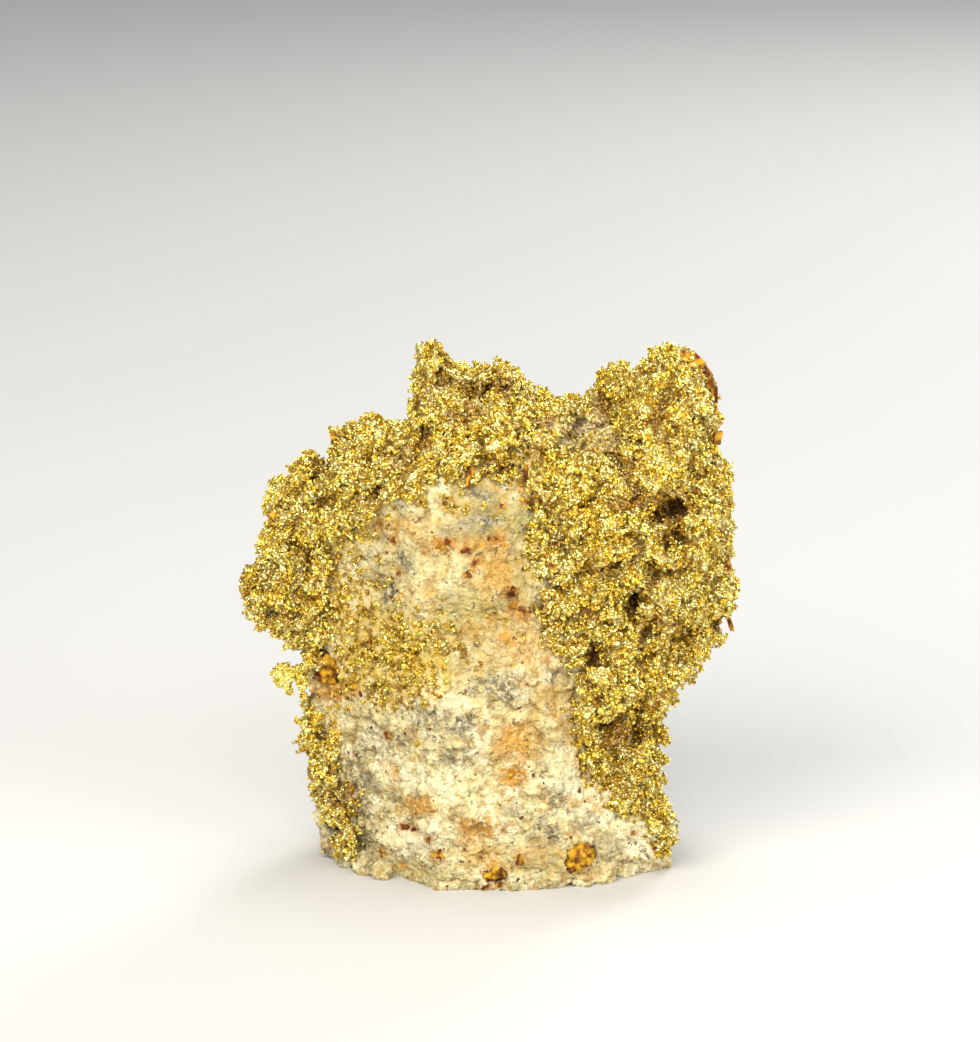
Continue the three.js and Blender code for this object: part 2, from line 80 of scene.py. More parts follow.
# The relief of each broken surface: lengths in metres, then how round its cells are. The quartz's first two
# sizes are the width and height of its chips, which the panel gives.
RELIEF_SIZES = ("Cell width", "Cell height", "Grain width", "Grain height", "Gap depth", "Roundness")
GOLD_RELIEF = (2.3 * MM, 0.7 * MM, 1.0 * MM, 0.4 * MM, 1.1 * MM, 1.0)
QUARTZ_RELIEF = (0.6 * MM, 0.28 * MM, 0.35 * MM, 0.12)
LIMONITE_RELIEF = (1.3 * MM, 0.8 * MM, 0.35 * MM, 0.16 * MM, 0.2 * MM, 0.3)

# The fillings of iron oxide, how far they swell out of their pockets, and the mesh width of their skin
LIMONITE_POCKETS = ("limonite_foot_pocket", "limonite_front_pocket", "limonite_left_pocket")
POCKET_SWELL, POCKET_SKIN = 0.45, 0.12

# Chips of iron oxide, as shares of their sizes: the block that each starts from, how far its corners are
# knocked about, the thickness of one on the front and the width of one on the edge of the gold
CHIP_BLOCK, CHIP_KNOCK, CHIP_THICKNESS, RIND_WIDTH = 0.9, 0.24, 0.7, 2.2

# The gold's core spreads by the second length where the quartz is nearer than the first
CONTACT_REACH, CONTACT_SPREAD = 1.3, 0.45

# The front hollows of the gold are pressed in full up to the first y and not at all beyond the second
HOLLOW_Y = (1.0, 3.0)

# How far the edges of the hollows wander, and the depth of a hollow that counts as full, which gets the
# most brown film, partly iron oxide and partly painted shade
HOLLOW_WANDER, FULL_HOLLOW = 0.8, 1.2

# Tufts of crystals that differ from one another, the crystals in each, and the seeds kept for each
TUFT_KINDS = 6
CRYSTALS_IN_TUFT = 5
SEEDS_A_KIND = 11

# The seeds of the strewn pieces. The parts of the gold mass count up from the stage's own seed.
RIM_SEED, BRANCH_SEED, DUST_SEED, GRAINS_SEED, SPECKS_SEED = 31, 41, 51, 61, 71

# The gold branch in millimetres: radius and spacing of its balls, how far they stray, mesh width
BRANCH_RADIUS, BRANCH_SPACING, BRANCH_STRAY, BRANCH_SKIN = 0.34, 0.3, 0.12, 0.14

# Small forms strewn over a surface: how many on a square metre and their sizes in metres
BRANCH_CRYSTALS = {"Crystals": 16 / MM**2, "Sink": 0.0, "Rise": 0.12 * MM, "Stretch": 1.5}
GOLD_DUST = {
    "Tufts": 4.2 / MM**2, "Smallest": 0.1 * MM, "Largest": 0.21 * MM, "Width": 0.3 * MM, "Height": 0.4 * MM
}
QUARTZ_GRAINS = {"Sink": -0.2 * MM, "Rise": 0.05 * MM, "Stretch": 1.3}
LIMONITE_SPECKS = {
    "Smallest": 0.1 * MM, "Largest": 0.22 * MM, "Sink": -0.05 * MM, "Rise": 0.08 * MM, "Stretch": 2.4
}

# Parts of the gold mass whose crystals are one piece each: name, lowest and highest x, lowest and highest z
CRYSTAL_PARTS = [
    ("gold_crystals_left", -40, -16, 0, 80),
    ("gold_crystals_crest", -16, 6, 0, 80),
    ("gold_crystals_top", 6, 40, 44, 80),
    ("gold_crystals_middle", 6, 40, 31, 44),
    ("gold_crystals_lower", 6, 40, 20, 31),
    ("gold_crystals_foot", 6, 40, 0, 20),
]

# The soft lights: name, place in metres, size in metres, power in watts, tint
LIGHTS = [
    ("key", (-0.28, -0.42, 0.42), 0.4, 4.0, "#FFFAF0"),
    ("fill", (0.45, -0.4, 0.2), 0.4, 2.6, "#FFFFFF"),
    ("front", (0.02, -0.6, 0.42), 0.4, 2.7, "#FFFFFF"),
    ("top", (0.05, 0.1, 0.6), 0.3, 1.4, "#FFFFFF"),
    ("back", (0.3, 0.5, 0.35), 0.25, 2.0, "#FFFFFF"),
]
LIGHTS_AIM = (0, 0, 30 * MM)
FLOOR_RADIUS = 6
FLOOR_CORNERS = 64

# Kinds of node
MATH = "ShaderNodeMath"
VECTOR_MATH = "ShaderNodeVectorMath"
MAP_RANGE = "ShaderNodeMapRange"
MIX = "ShaderNodeMix"
NOISE = "ShaderNodeTexNoise"
VORONOI = "ShaderNodeTexVoronoi"
BUMP = "ShaderNodeBump"
ATTRIBUTE = "ShaderNodeAttribute"
SEPARATE = "ShaderNodeSeparateXYZ"
COMBINE = "ShaderNodeCombineXYZ"
RANDOM = "FunctionNodeRandomValue"
SCATTER = "GeometryNodeDistributePointsOnFaces"
INSTANCE = "GeometryNodeInstanceOnPoints"
TO_INSTANCE = "GeometryNodeGeometryToInstance"
STORE = "GeometryNodeStoreNamedAttribute"
REALIZE = "GeometryNodeRealizeInstances"
SET_POSITION = "GeometryNodeSetPosition"
SET_SMOOTH = "GeometryNodeSetShadeSmooth"
SET_MATERIAL = "GeometryNodeSetMaterial"

# Hollows and cracks in the front of the gold: from x, v to x, v across the picture, half width, depth
GOLD_HOLLOWS = [
    (18.8, 41.0, 20.6, 42.2, 1.3, 2.8), (19.3, 38.4, 20.2, 39.5, 0.9, 2.2),
    (15.6, 30.0, 16.2, 32.6, 0.8, 2.4), (16.6, 28.0, 17.6, 29.2, 0.6, 1.8),
    (11.0, 25.3, 11.9, 26.1, 0.8, 2.2), (16.6, 21.8, 16.3, 16.6, 0.4, 2.0),
    (22.0, 48.0, 21.8, 45.6, 0.3, 1.4), (22.2, 44.8, 22.7, 43.4, 0.3, 1.2),
    (20.2, 27.6, 22.2, 28.6, 0.6, 1.6), (17.8, 26.0, 19.4, 26.6, 0.4, 1.4),
    (9.6, 38.0, 10.1, 39.0, 0.5, 1.5), (10.0, 42.3, 10.5, 42.8, 0.45, 1.4),
    (12.3, 18.4, 14.2, 18.9, 0.6, 1.4), (13.6, 35.2, 14.4, 35.8, 0.3, 1.0),
    (7.6, 33.0, 8.2, 33.6, 0.35, 1.0), (18.0, 34.6, 19.2, 35.2, 0.35, 1.2),
    (24.2, 33.0, 25.0, 34.2, 0.3, 1.0), (-7.2, 50.3, -9.3, 46.8, 0.7, 2.2),
    (-13.7, 47.1, -12.9, 47.9, 0.7, 1.6), (-1.4, 55.3, 1.6, 55.5, 0.6, 2.2),
    (10.0, 53.5, 13.2, 53.7, 0.6, 1.8), (-21.6, 40.3, -24.2, 40.2, 0.3, 1.0),
    (-21.4, 38.6, -21.0, 40.0, 0.4, 1.0), (-24.4, 30.9, -20.6, 30.2, 0.5, 1.0),
    (-17.0, 43.4, -16.2, 43.8, 0.3, 0.9), (17.0, 54.2, 17.3, 55.2, 0.25, 0.9),
    (19.0, 52.0, 19.6, 52.8, 0.25, 0.9),
]

# Parts where the gold is drawn back behind the quartz: x, v, half width, half height, depth
GOLD_BARED = [
    (0.6, 46.4, 3.4, 1.5, 2.8), (3.6, 47.2, 2.6, 1.7, 2.8), (-4.4, 44.6, 2.6, 1.2, 2.0),
]

# Parts of the gold below a dust of quartz: x, v, half width, half height, strength
GOLD_CHALK = [
    (10.2, 50.8, 3.0, 2.0, 1.0), (12.6, 49.2, 1.6, 1.0, 0.5), (7.6, 51.6, 1.4, 0.8, 0.5),
]

# Parts of the gold that iron oxide has browned, and parts painted brown as shade, such as the crest, the
# shelf under the top knobs, the clefts and the underside of the left lobe: x, v, half width, half height,
# strength
GOLD_BROWN_AND_SHADE = [
    (14.2, 17.2, 2.6, 2.4, 0.75), (14.0, 12.6, 2.4, 1.6, 0.6), (16.5, 10.0, 2.0, 1.2, 0.45),
    (-22.5, 30.4, 3.6, 1.2, 0.6), (-8.6, 48.6, 1.6, 2.4, 0.5), (0.2, 55.2, 2.6, 0.8, 0.7),
    (12.0, 48.6, 3.4, 1.2, 0.45), (23.6, 57.6, 1.2, 2.4, 0.8), (16.4, 31.0, 1.4, 2.0, 0.5),
    (19.6, 40.4, 1.8, 2.4, 0.5), (21.4, 28.0, 1.8, 1.4, 0.5), (-24.0, 42.6, 0.8, 1.0, 0.4),
    (4.0, 53.8, 1.6, 1.0, 0.4), (-3.0, 55.0, 6.0, 3.4, 0.3),
]

# Patches of colour in the quartz, by kind: x, v, half width, half height, strength
QUARTZ_PATCHES = {
    "ochre": [
        (0.6, 35.4, 1.9, 3.0, 0.8), (-0.8, 38.3, 3.0, 1.2, 0.7), (-5.2, 38.4, 1.3, 0.7, 0.9),
        (-10.5, 40.3, 4.4, 0.8, 0.75), (3.0, 16.8, 2.4, 2.4, 1.0), (2.4, 13.0, 1.7, 1.3, 1.0),
        (4.2, 27.2, 4.2, 2.4, 0.6), (-1.6, 28.6, 2.4, 1.8, 0.5), (3.4, 30.6, 2.6, 1.2, 0.6),
        (6.4, 21.6, 2.4, 1.8, 0.5), (-7.8, 9.6, 2.0, 1.2, 0.9), (-1.6, 7.0, 1.9, 1.6, 0.9),
        (-1.4, 4.2, 2.6, 1.5, 0.6), (-9.8, 2.8, 1.0, 0.5, 1.0), (-16.8, 22.2, 2.8, 1.3, 1.0),
        (10.2, 1.9, 2.4, 0.6, 0.6), (5.4, 4.4, 1.6, 1.6, 0.4), (-7.0, 32.6, 1.8, 1.6, 0.35),
        (9.8, 14.8, 0.5, 1.1, 0.8),
    ],
    "grey": [
        # The first three grey patches, down the left side, paint the shade of that side, which turns from
        # the light; the rest are glassy quartz
        (-14.6, 10.5, 1.8, 6.5, 0.7), (-18.9, 18.4, 1.1, 3.0, 0.5), (-17.6, 5.0, 1.6, 2.2, 0.8),
        (-2.6, 18.8, 1.6, 1.4, 1.0), (-6.2, 19.4, 1.8, 1.8, 0.6), (-3.6, 14.8, 2.4, 1.2, 0.6),
        (-12.6, 16.4, 2.6, 2.2, 0.5), (1.4, 22.8, 2.2, 1.7, 0.75), (-11.0, 33.2, 0.9, 1.7, 0.9),
        (-8.0, 30.3, 1.1, 0.6, 1.0), (-6.0, 25.6, 1.3, 0.7, 0.9), (8.0, 24.4, 2.0, 1.1, 0.8),
        (10.2, 17.6, 0.9, 1.7, 0.9), (7.4, 10.0, 0.9, 1.4, 0.8), (7.1, 7.0, 0.7, 0.9, 1.0),
        (2.6, 9.0, 1.5, 1.0, 0.5), (10.6, 8.0, 2.0, 1.2, 0.4), (-9.4, 36.8, 0.9, 1.4, 0.9),
        (-15.4, 37.4, 2.6, 1.6, 0.5), (-0.6, 41.0, 1.8, 1.8, 0.5), (-1.4, 43.6, 2.2, 1.0, 0.8),
        (1.6, 46.6, 1.8, 0.9, 0.7), (2.2, 38.8, 0.6, 1.6, 0.6),
    ],
    "white": [
        (-7.6, 5.8, 3.8, 2.6, 0.9), (-9.0, 12.4, 2.6, 1.6, 0.6), (8.6, 13.4, 2.6, 3.4, 0.6),
        (16.4, 5.6, 2.8, 2.8, 0.9), (5.2, 34.0, 0.8, 5.0, 0.7), (7.6, 27.2, 2.0, 1.4, 0.8),
        (-5.4, 21.6, 5.0, 1.2, 0.4), (-18.2, 27.0, 1.0, 1.0, 0.8), (-11.0, 43.6, 2.8, 1.4, 0.6),
        (4.2, 48.6, 1.2, 0.9, 0.8), (-7.6, 35.6, 2.0, 1.6, 0.6), (-17.0, 23.8, 0.6, 0.9, 0.8),
    ],
    "rust": [
        (2.2, 33.0, 0.8, 0.9, 0.9), (3.2, 31.4, 1.0, 0.5, 0.8), (-1.7, 36.4, 0.5, 0.8, 0.8),
        (-17.9, 24.3, 0.7, 0.7, 0.9), (-19.2, 25.6, 0.5, 0.9, 0.8), (6.6, 35.6, 0.6, 0.9, 0.7),
        (-15.2, 11.2, 0.5, 1.2, 0.7), (-2.9, 7.0, 0.3, 0.7, 0.8), (-2.2, 8.1, 0.7, 0.3, 0.8),
        (-0.8, 8.2, 0.7, 0.3, 0.7), (-0.1, 7.3, 0.3, 0.7, 0.8), (-1.6, 6.0, 0.8, 0.25, 0.6),
    ],
}

# Lumps that round off the quartz at its foot: x, y, z, radius
QUARTZ_LUMPS = [
    (-17.5, -1.6, 2.0, 1.8), (-18.0, -0.6, 4.6, 1.7), (-18.4, 0.2, 7.2, 1.7), (-18.6, 0.4, 9.8, 1.7),
    (-18.5, 0.4, 12.6, 1.7), (-18.5, 0.2, 15.4, 1.7), (-18.7, -0.6, 18.0, 1.6), (-18.7, -1.4, 20.6, 1.6),
    (-15.9, -3.8, 0.9, 1.6), (-13.8, -6.2, 0.9, 1.5), (-11.8, -8.0, 0.9, 1.4), (15.0, -6.6, 0.9, 1.5),
    (17.2, -5.0, 1.0, 1.6), (18.8, -4.0, 1.6, 1.4), (19.2, -3.6, 3.6, 1.3), (19.3, -3.4, 5.8, 1.1),
    (17.0, -6.0, 3.6, 1.3), (15.4, -7.2, 4.4, 1.3), (18.2, -4.8, 5.4, 1.3), (14.0, -8.0, 5.8, 1.1),
    (16.4, -6.2, 5.8, 1.1), (12.4, -9.0, 0.9, 1.5), (10.2, -10.2, 0.9, 1.3), (19.1, -4.6, 1.0, 1.3),
]

# Lumps that bring the gold out to its edge: x, y, z, radius
GOLD_LUMPS = [
    (17.6, 0.4, 57.0, 1.0), (18.8, 0.4, 57.2, 1.0), (20.2, 0.4, 57.4, 1.1), (-26.6, -2.2, 31.0, 0.9),
    (-26.4, -2.2, 29.2, 0.9), (-25.2, -2.2, 27.9, 0.7), (-26.3, -2.2, 33.4, 0.8), (-17.0, -1.6, 49.8, 0.7),
    (-19.9, -2.0, 46.7, 0.6), (24.8, -2.0, 26.6, 0.9), (23.6, -2.0, 24.9, 0.8), (26.4, -2.0, 30.4, 0.9),
    (21.5, -2.0, 21.8, 1.0), (18.7, -2.0, 14.6, 0.8), (25.6, -1.0, 44.0, 0.6),
]

# Round notches pressed into the gold's outline across the line of sight: x, v, radius, way as x and v
GOLD_NOTCHES = [
    (-18.2, 47.4, 1.7, 0.1, -1.0), (7.2, 60.0, 5.3, 0.0, -1.0), (6.3, 56.3, 2.5, 0.0, -1.0),
    (8.6, 56.0, 2.2, 0.0, -1.0), (-6.6, 62.5, 2.6, 0.0, -1.0), (1.1, 60.0, 2.6, 0.0, -1.0),
    (18.2, 61.0, 2.1, 0.0, -1.0), (15.9, 58.4, 1.7, 0.1, -1.0), (10.6, 58.1, 2.0, 0.5, -0.86),
    (-10.5, 56.2, 3.6, 1.0, 0.0), (-12.2, 55.4, 4.2, 0.0, -1.0), (-15.4, 55.2, 4.2, 0.0, -1.0),
    (-23.6, 17.8, 3.4, 1.0, 0.0), (21.1, 11.4, 2.8, -1.0, 0.0), (22.2, 8.8, 2.8, -1.0, 0.0),
    (21.7, 5.6, 2.0, -1.0, 0.0),
]

# Gold dusted over the quartz face: x, v, half width, half height, strength
FACE_GOLD = [
    (-10.5, 26.0, 6.4, 4.8, 1.0), (-15.4, 38.6, 3.0, 3.0, 0.5), (-12.4, 42.2, 2.6, 2.0, 0.45),
    (-17.4, 41.6, 2.2, 2.4, 0.8), (-16.0, 31.0, 4.0, 3.6, 0.7), (-9.0, 44.6, 3.0, 1.4, 0.6),
    (-17.2, 29.6, 3.0, 2.6, 0.9), (-17.6, 33.6, 2.0, 2.6, 0.6), (-12.6, 30.4, 3.0, 1.6, 0.7),
    (-6.6, 22.8, 2.0, 1.8, 0.5), (-18.0, 38.4, 1.6, 1.8, 0.5), (-13.6, 34.0, 2.6, 1.6, 0.3),
    (-17.2, 18.6, 0.8, 2.6, 0.5), (-15.6, 9.6, 1.0, 3.0, 0.4), (-3.4, 42.8, 2.8, 1.4, 0.35),
    (1.4, 29.8, 2.6, 1.6, 0.15), (3.0, 50.0, 3.0, 1.2, 0.5), (-4.0, 45.8, 3.0, 1.0, 0.35),
    (11.4, 12.4, 0.8, 1.0, 0.4),
]

# Thin film of gold and iron over the quartz face: x, v, half width, half height, strength
FACE_FILM = [
    (-8.0, 37.4, 6.4, 5.0, 0.6), (-1.4, 30.8, 5.4, 4.6, 0.9), (0.4, 40.6, 5.4, 5.0, 0.9),
    (2.0, 46.4, 4.6, 2.2, 0.9), (2.6, 35.0, 3.6, 5.0, 0.9), (-3.0, 25.0, 4.6, 2.2, 0.7),
    (-11.0, 29.0, 5.0, 4.0, 0.6), (4.6, 3.6, 6.4, 2.4, 0.6), (-8.0, 2.4, 5.0, 1.4, 0.6),
    (6.6, 19.6, 2.8, 5.0, 0.5), (-14.6, 20.0, 2.0, 2.0, 0.3), (2.6, 9.4, 2.0, 1.6, 0.4),
]

# Iron oxide chips seen one by one: x, v, length, width, turn in degrees, dark share
RUST_CHIPS = [
    (-2.2, 45.8, 2.4, 0.9, 110, 0.1), (-3.8, 45.5, 0.7, 0.6, 20, 0.3), (1.4, 42.6, 0.7, 0.5, 80, 0.5),
    (4.0, 43.0, 0.9, 0.7, 10, 0.3), (3.9, 46.6, 1.6, 0.5, 60, 0.3), (3.4, 45.0, 1.4, 0.5, 10, 0.3),
    (3.3, 3.7, 1.3, 0.7, 80, 0.7), (0.4, 1.4, 1.6, 0.8, 10, 0.6), (-0.4, 0.6, 0.9, 0.6, 30, 0.3),
    (1.1, 0.9, 0.8, 0.7, 60, 0.3), (-9.4, 7.2, 0.9, 0.6, 0, 0.8), (-8.4, 7.0, 1.2, 0.5, 50, 1.0),
    (-6.7, 6.0, 0.8, 0.5, 120, 0.5), (-5.8, 4.2, 1.2, 0.7, 10, 0.4), (-5.6, 4.0, 0.7, 0.5, 70, 0.5),
    (-11.9, 4.1, 0.6, 0.6, 20, 0.5), (-11.2, 17.3, 0.8, 0.6, 120, 0.7), (-15.4, 11.0, 1.1, 0.6, 110, 0.4),
    (-15.1, 9.8, 0.8, 0.5, 60, 0.4), (-10.4, 38.9, 0.9, 0.6, 80, 0.3), (-5.6, 38.2, 1.0, 0.7, 10, 0.2),
    (-4.5, 38.6, 0.9, 0.7, 60, 0.2), (-2.6, 37.8, 1.0, 0.5, 30, 0.5), (0.8, 38.8, 1.2, 0.5, 130, 0.4),
    (-1.6, 36.4, 1.1, 0.6, 60, 0.5), (-2.4, 35.0, 0.7, 0.6, 20, 1.0), (2.5, 33.3, 1.4, 0.8, 60, 0.8),
    (2.9, 31.4, 1.8, 0.6, 150, 0.8), (6.3, 31.6, 0.6, 0.5, 0, 0.4), (6.8, 35.8, 1.4, 0.8, 90, 0.2),
    (6.4, 37.4, 0.8, 0.5, 90, 0.3), (-13.2, 30.4, 0.7, 0.4, 60, 0.5), (-15.6, 30.4, 0.6, 0.5, 60, 0.5),
    (-10.0, 35.4, 0.7, 0.5, 100, 0.5), (-17.9, 24.5, 1.0, 0.7, 90, 0.2), (-18.6, 25.5, 1.0, 0.5, 80, 0.8),
    (-17.2, 21.9, 1.6, 0.8, 20, 0.0), (-15.0, 22.7, 1.0, 0.7, 40, 0.1), (8.8, 6.2, 0.5, 0.4, 0, 0.8),
    (2.4, 13.2, 0.8, 0.4, 30, 0.0), (9.9, 14.8, 1.4, 0.35, 60, 0.1), (-1.0, 25.4, 0.7, 0.4, 20, 0.4),
    (15.8, 6.4, 0.7, 0.4, 90, 1.0), (18.2, 4.6, 0.6, 0.5, 30, 0.9), (0.2, 30.4, 0.6, 0.4, 120, 0.2),
    (-7.4, 43.0, 0.6, 0.4, 60, 0.2), (-12.0, 40.6, 0.9, 0.4, 10, 0.2), (7.4, 54.3, 1.1, 0.8, 20, 0.1),
]

# Iron oxide rind on the right edge of the gold: x, y, z, length, width, turn in degrees
RIND_CHIPS = [
    (21.4, 0.2, 57.7, 1.6, 0.7, 165), (22.5, 0.2, 57.2, 1.8, 0.9, 145), (23.4, 0.3, 56.1, 1.8, 1.0, 122),
    (24.0, 0.2, 54.8, 1.7, 1.0, 112), (24.5, 0.0, 53.4, 1.4, 0.9, 102), (24.4, -1.0, 51.2, 1.4, 0.7, 40),
    (25.0, -1.4, 48.6, 1.5, 0.8, 85), (25.9, -1.8, 43.2, 0.9, 0.5, 80), (26.2, -2.2, 34.6, 1.2, 0.6, 100),
    (26.6, -2.0, 27.6, 1.6, 0.6, 110), (-17.2, -1.4, 48.8, 1.2, 0.5, 100),
    (-23.8, -2.6, 40.4, 1.2, 0.6, 60),
]

# Lacy branch on the left edge, as strings of crystals: x, y, z
SPRIG_STRINGS = [
    [
        (-20.3, -1.2, 23.0), (-20.8, -1.6, 22.5), (-21.2, -1.8, 21.3), (-20.9, -1.8, 20.2),
        (-20.8, -1.8, 19.0),
    ],
    [
        (-20.4, -1.4, 21.8), (-20.6, -1.7, 20.9), (-21.1, -1.8, 21.2),
    ],
    [
        (-21.1, -1.7, 22.3), (-21.9, -1.8, 22.0), (-22.6, -1.9, 22.6), (-23.5, -2.0, 22.5),
        (-23.9, -2.0, 21.8), (-23.7, -2.0, 21.0), (-23.0, -2.0, 20.7), (-22.4, -2.0, 21.2),
        (-21.9, -1.8, 22.0),
    ],
    [
        (-23.0, -2.0, 20.7), (-22.5, -2.0, 20.4), (-22.2, -2.0, 19.7),
    ],
    [
        (-23.6, -2.0, 21.3), (-23.1, -2.0, 21.6), (-22.6, -2.0, 21.9),
    ],
]


def linear(code):
    """The linear RGB of an sRGB hex colour."""
    parts = [int(code[i : i + 2], 16) / 255 for i in (1, 3, 5)]
    return tuple(c / 12.92 if c <= 0.04045 else ((c + 0.055) / 1.055) ** 2.4 for c in parts)


def colour_property(name, description, code):
    return FloatVectorProperty(
        name=name, description=description, subtype="COLOR", size=3, default=linear(code)
    )


def length_property(name, description, millimetres):
    return FloatProperty(name=name, description=description, default=millimetres * MM, unit="LENGTH")


class SPECIMEN_PG_gold(bpy.types.PropertyGroup):
    """Sizes and colours of the crystallised gold."""

    skin: length_property("Skin", "Mesh width of the gold below its crystals", 0.33)
    lump_smallest: length_property("Smallest lump", "Radius of the smallest lump of the sponge", 0.5)
    lump_largest: length_property("Largest lump", "Radius of the largest lump of the sponge", 1.2)
    shrink: length_property("Shrink", "Depth of the solid core below the lumps of the sponge", 1.25)
    lumps: FloatProperty(name="Lumps", description="Lumps on a square millimetre", default=0.5)
    crystal_smallest: length_property("Smallest crystal", "Radius of the smallest crystal", 0.12)
    crystal_largest: length_property("Largest crystal", "Radius of the largest crystal", 0.25)
    tufts: FloatProperty(name="Tufts", description="Tufts of crystals on a square millimetre", default=1.75)
    tuft_width: length_property("Tuft width", "Half the width of a tuft of crystals", 0.36)
    tuft_height: length_property("Tuft height", "Height of a tuft of crystals", 0.56)
    bright: colour_property("Bright gold", "Clean gold on the tips", "#FFF6A8")
    # The deep gold is partly random tone and partly painted shade, laid lower down each tuft of crystals
    deep: colour_property("Deep gold", "Richer gold between the tips", "#F8DA56")
    # The browned gold is partly a film of iron oxide and partly painted shade: the material lays it in the
    # hollows, at the foot of each tuft and between the skin's facets
    brown: colour_property("Browned gold", "Gold below a film of iron oxide", "#8E5608")
    chalk: colour_property("Chalk", "Gold below a dust of quartz", "#CBB588")


class SPECIMEN_PG_quartz(bpy.types.PropertyGroup):
    """Sizes and colours of the vein quartz."""

    skin: length_property("Skin", "Mesh width of the broken surface", 0.28)
    chip_width: length_property("Chip width", "Width of the chips of the fracture", 1.5)
    chip_height: length_property("Chip height", "Step from chip to chip", 0.5)
    grain_smallest: length_property("Smallest grain", "Radius of the smallest sugary grain", 0.1)
    grain_largest: length_property("Largest grain", "Radius of the largest sugary grain", 0.28)
    grains: FloatProperty(name="Grains", description="Grains on a square millimetre", default=1.5)
    cream: colour_property("Cream", "Milky quartz with a trace of iron", "#CCB978")
    white: colour_property("White", "Clean milky quartz", "#E3DAB2")
    # Grey is glassy quartz, and painted shade down the left side of the block
    grey: colour_property("Grey", "Glassy quartz over shade", "#A09672")
    ochre: colour_property("Ochre", "Quartz stained by limonite", "#BC8C24")
    rust: colour_property("Rust", "Quartz soaked in iron oxide", "#AC7016")
    tan: colour_property("Tan", "Quartz with a little iron in its seams", "#C8A24A")
    # Earth and painted shade, laid in the hollows of the quartz
    dirt_and_shade: colour_property("Dirt", "Earth caught in the hollows", "#8A6A28")
    dark: colour_property("Dark", "Dark mineral specks", "#463C2A")
    filmed: colour_property("Filmed", "Quartz below a film of gold and iron", "#A4944E")
    gilded: colour_property("Gilded", "Quartz below the dust of gold", "#C8A844")


class SPECIMEN_PG_limonite(bpy.types.PropertyGroup):
    """Colours of the iron oxide."""

    orange: colour_property("Orange", "Fresh earthy limonite", "#C0901C")
    dark: colour_property("Dark", "Hard brown iron oxide", "#5E2C0A")
    specks: FloatProperty(name="Specks", description="Loose specks on a square millimetre", default=0.15)


class SPECIMEN_PG_stage(bpy.types.PropertyGroup):
    """Camera, lights and floor."""

    lens: FloatProperty(name="Lens", description="Focal length in millimetres", default=150.0)
    sensor: FloatProperty(name="Sensor", description="Long side of the sensor in millimetres", default=36.0)
    tilt: FloatProperty(
        name="Tilt", description="Height of the view above level", default=math.radians(15), unit="ROTATION"
    )
    floor: colour_property("Floor", "Plain pale floor", "#C6C4BF")
    floor_shade: colour_property("Floor shade", "The floor where it is a little darker", "#B4B2AD")
    air: colour_property("Air", "Even light all round", "#8F949C")
    seed: IntProperty(name="Seed", description="Number that fixes all that is scattered", default=7)


class SPECIMEN_PG_all(bpy.types.PropertyGroup):
    """All the specimen's settings."""

    gold: PointerProperty(type=SPECIMEN_PG_gold)
    quartz: PointerProperty(type=SPECIMEN_PG_quartz)
    limonite: PointerProperty(type=SPECIMEN_PG_limonite)
    stage: PointerProperty(type=SPECIMEN_PG_stage)


# Node trees


def add_node(tree, kind, inputs=None, output=0, **options):
    """Adds one node with its options, and gives each input a value, a link or a list of links. It gives
    back the output asked for, or the node where output is None."""
    made = tree.nodes.new(kind)
    for name, value in options.items():
        setattr(made, name, value)
    for key, value in (inputs or {}).items():
        for item in value if isinstance(value, list) else [value]:
            if isinstance(item, bpy.types.NodeSocket):
                tree.links.new(item, made.inputs[key])
            else:
                made.inputs[key].default_value = item
    return made if output is None else made.outputs[output]


def start_tree(name, floats, **others):
    """A Geometry Nodes tree with its named inputs, and the outputs of its group input node."""
    tree = bpy.data.node_groups.new(name, "GeometryNodeTree")
    tree.is_modifier = True
    for way in ("OUTPUT", "INPUT"):
        tree.interface.new_socket("Geometry", in_out=way, socket_type="NodeSocketGeometry")
    for label, kind in {**dict.fromkeys(floats, "Float"), **others, "Material": "Material"}.items():
        tree.interface.new_socket(label, in_out="INPUT", socket_type="NodeSocket" + kind)
    return tree, add_node(tree, "NodeGroupInput", output=None).outputs


def end_tree(tree, given, shape, smooth):
    """Makes the instances real, shades them smooth or flat, gives them the material and ends the tree."""
    real = add_node(tree, REALIZE, {"Geometry": shape})
    shaded = add_node(tree, SET_SMOOTH, {"Geometry": real, "Shade Smooth": smooth})
    named = add_node(tree, SET_MATERIAL, {"Geometry": shaded, "Material": given["Material"]})
    add_node(tree, "NodeGroupOutput", {"Geometry": named}, None)
    return tree


def tree_called(name, build, *arguments):
    """The tree of that name, built the first time it is asked for."""
    return bpy.data.node_groups.get(name) or build(name, *arguments)


def run_tree(piece, tree, values):
    """Puts the tree on the piece as a modifier, with its inputs set by their identifiers."""
    modifier = piece.modifiers.new(tree.name, "NODES")
    modifier.node_group = tree
    for item in tree.interface.items_tree:
        if item.in_out == "INPUT" and item.name in values:
            modifier[item.identifier] = values[item.name]


def lump_tree(name):
    """Rounded lumps joined to a surface, which a remesh then melts into one skin."""
    tree, given = start_tree(name, ("Lumps", "Smallest", "Largest"), Seed="Int")
    ground, seed = given["Geometry"], given["Seed"]
    points = add_node(tree, SCATTER, {"Mesh": ground, "Density": given["Lumps"], "Seed": seed}, "Points")
    ball = add_node(tree, "GeometryNodeMeshIcoSphere", {"Radius": 1.0, "Subdivisions": 2}, "Mesh")
    ends = {2: given["Smallest"], 3: given["Largest"], 8: seed}
    size = add_node(tree, RANDOM, ends, 1, data_type="FLOAT")
    lumps = add_node(tree, INSTANCE, {"Points": points, "Instance": ball, "Scale": size}, "Instances")
    joined = add_node(tree, "GeometryNodeJoinGeometry", {0: [ground, lumps]})
    return end_tree(tree, given, joined, False)


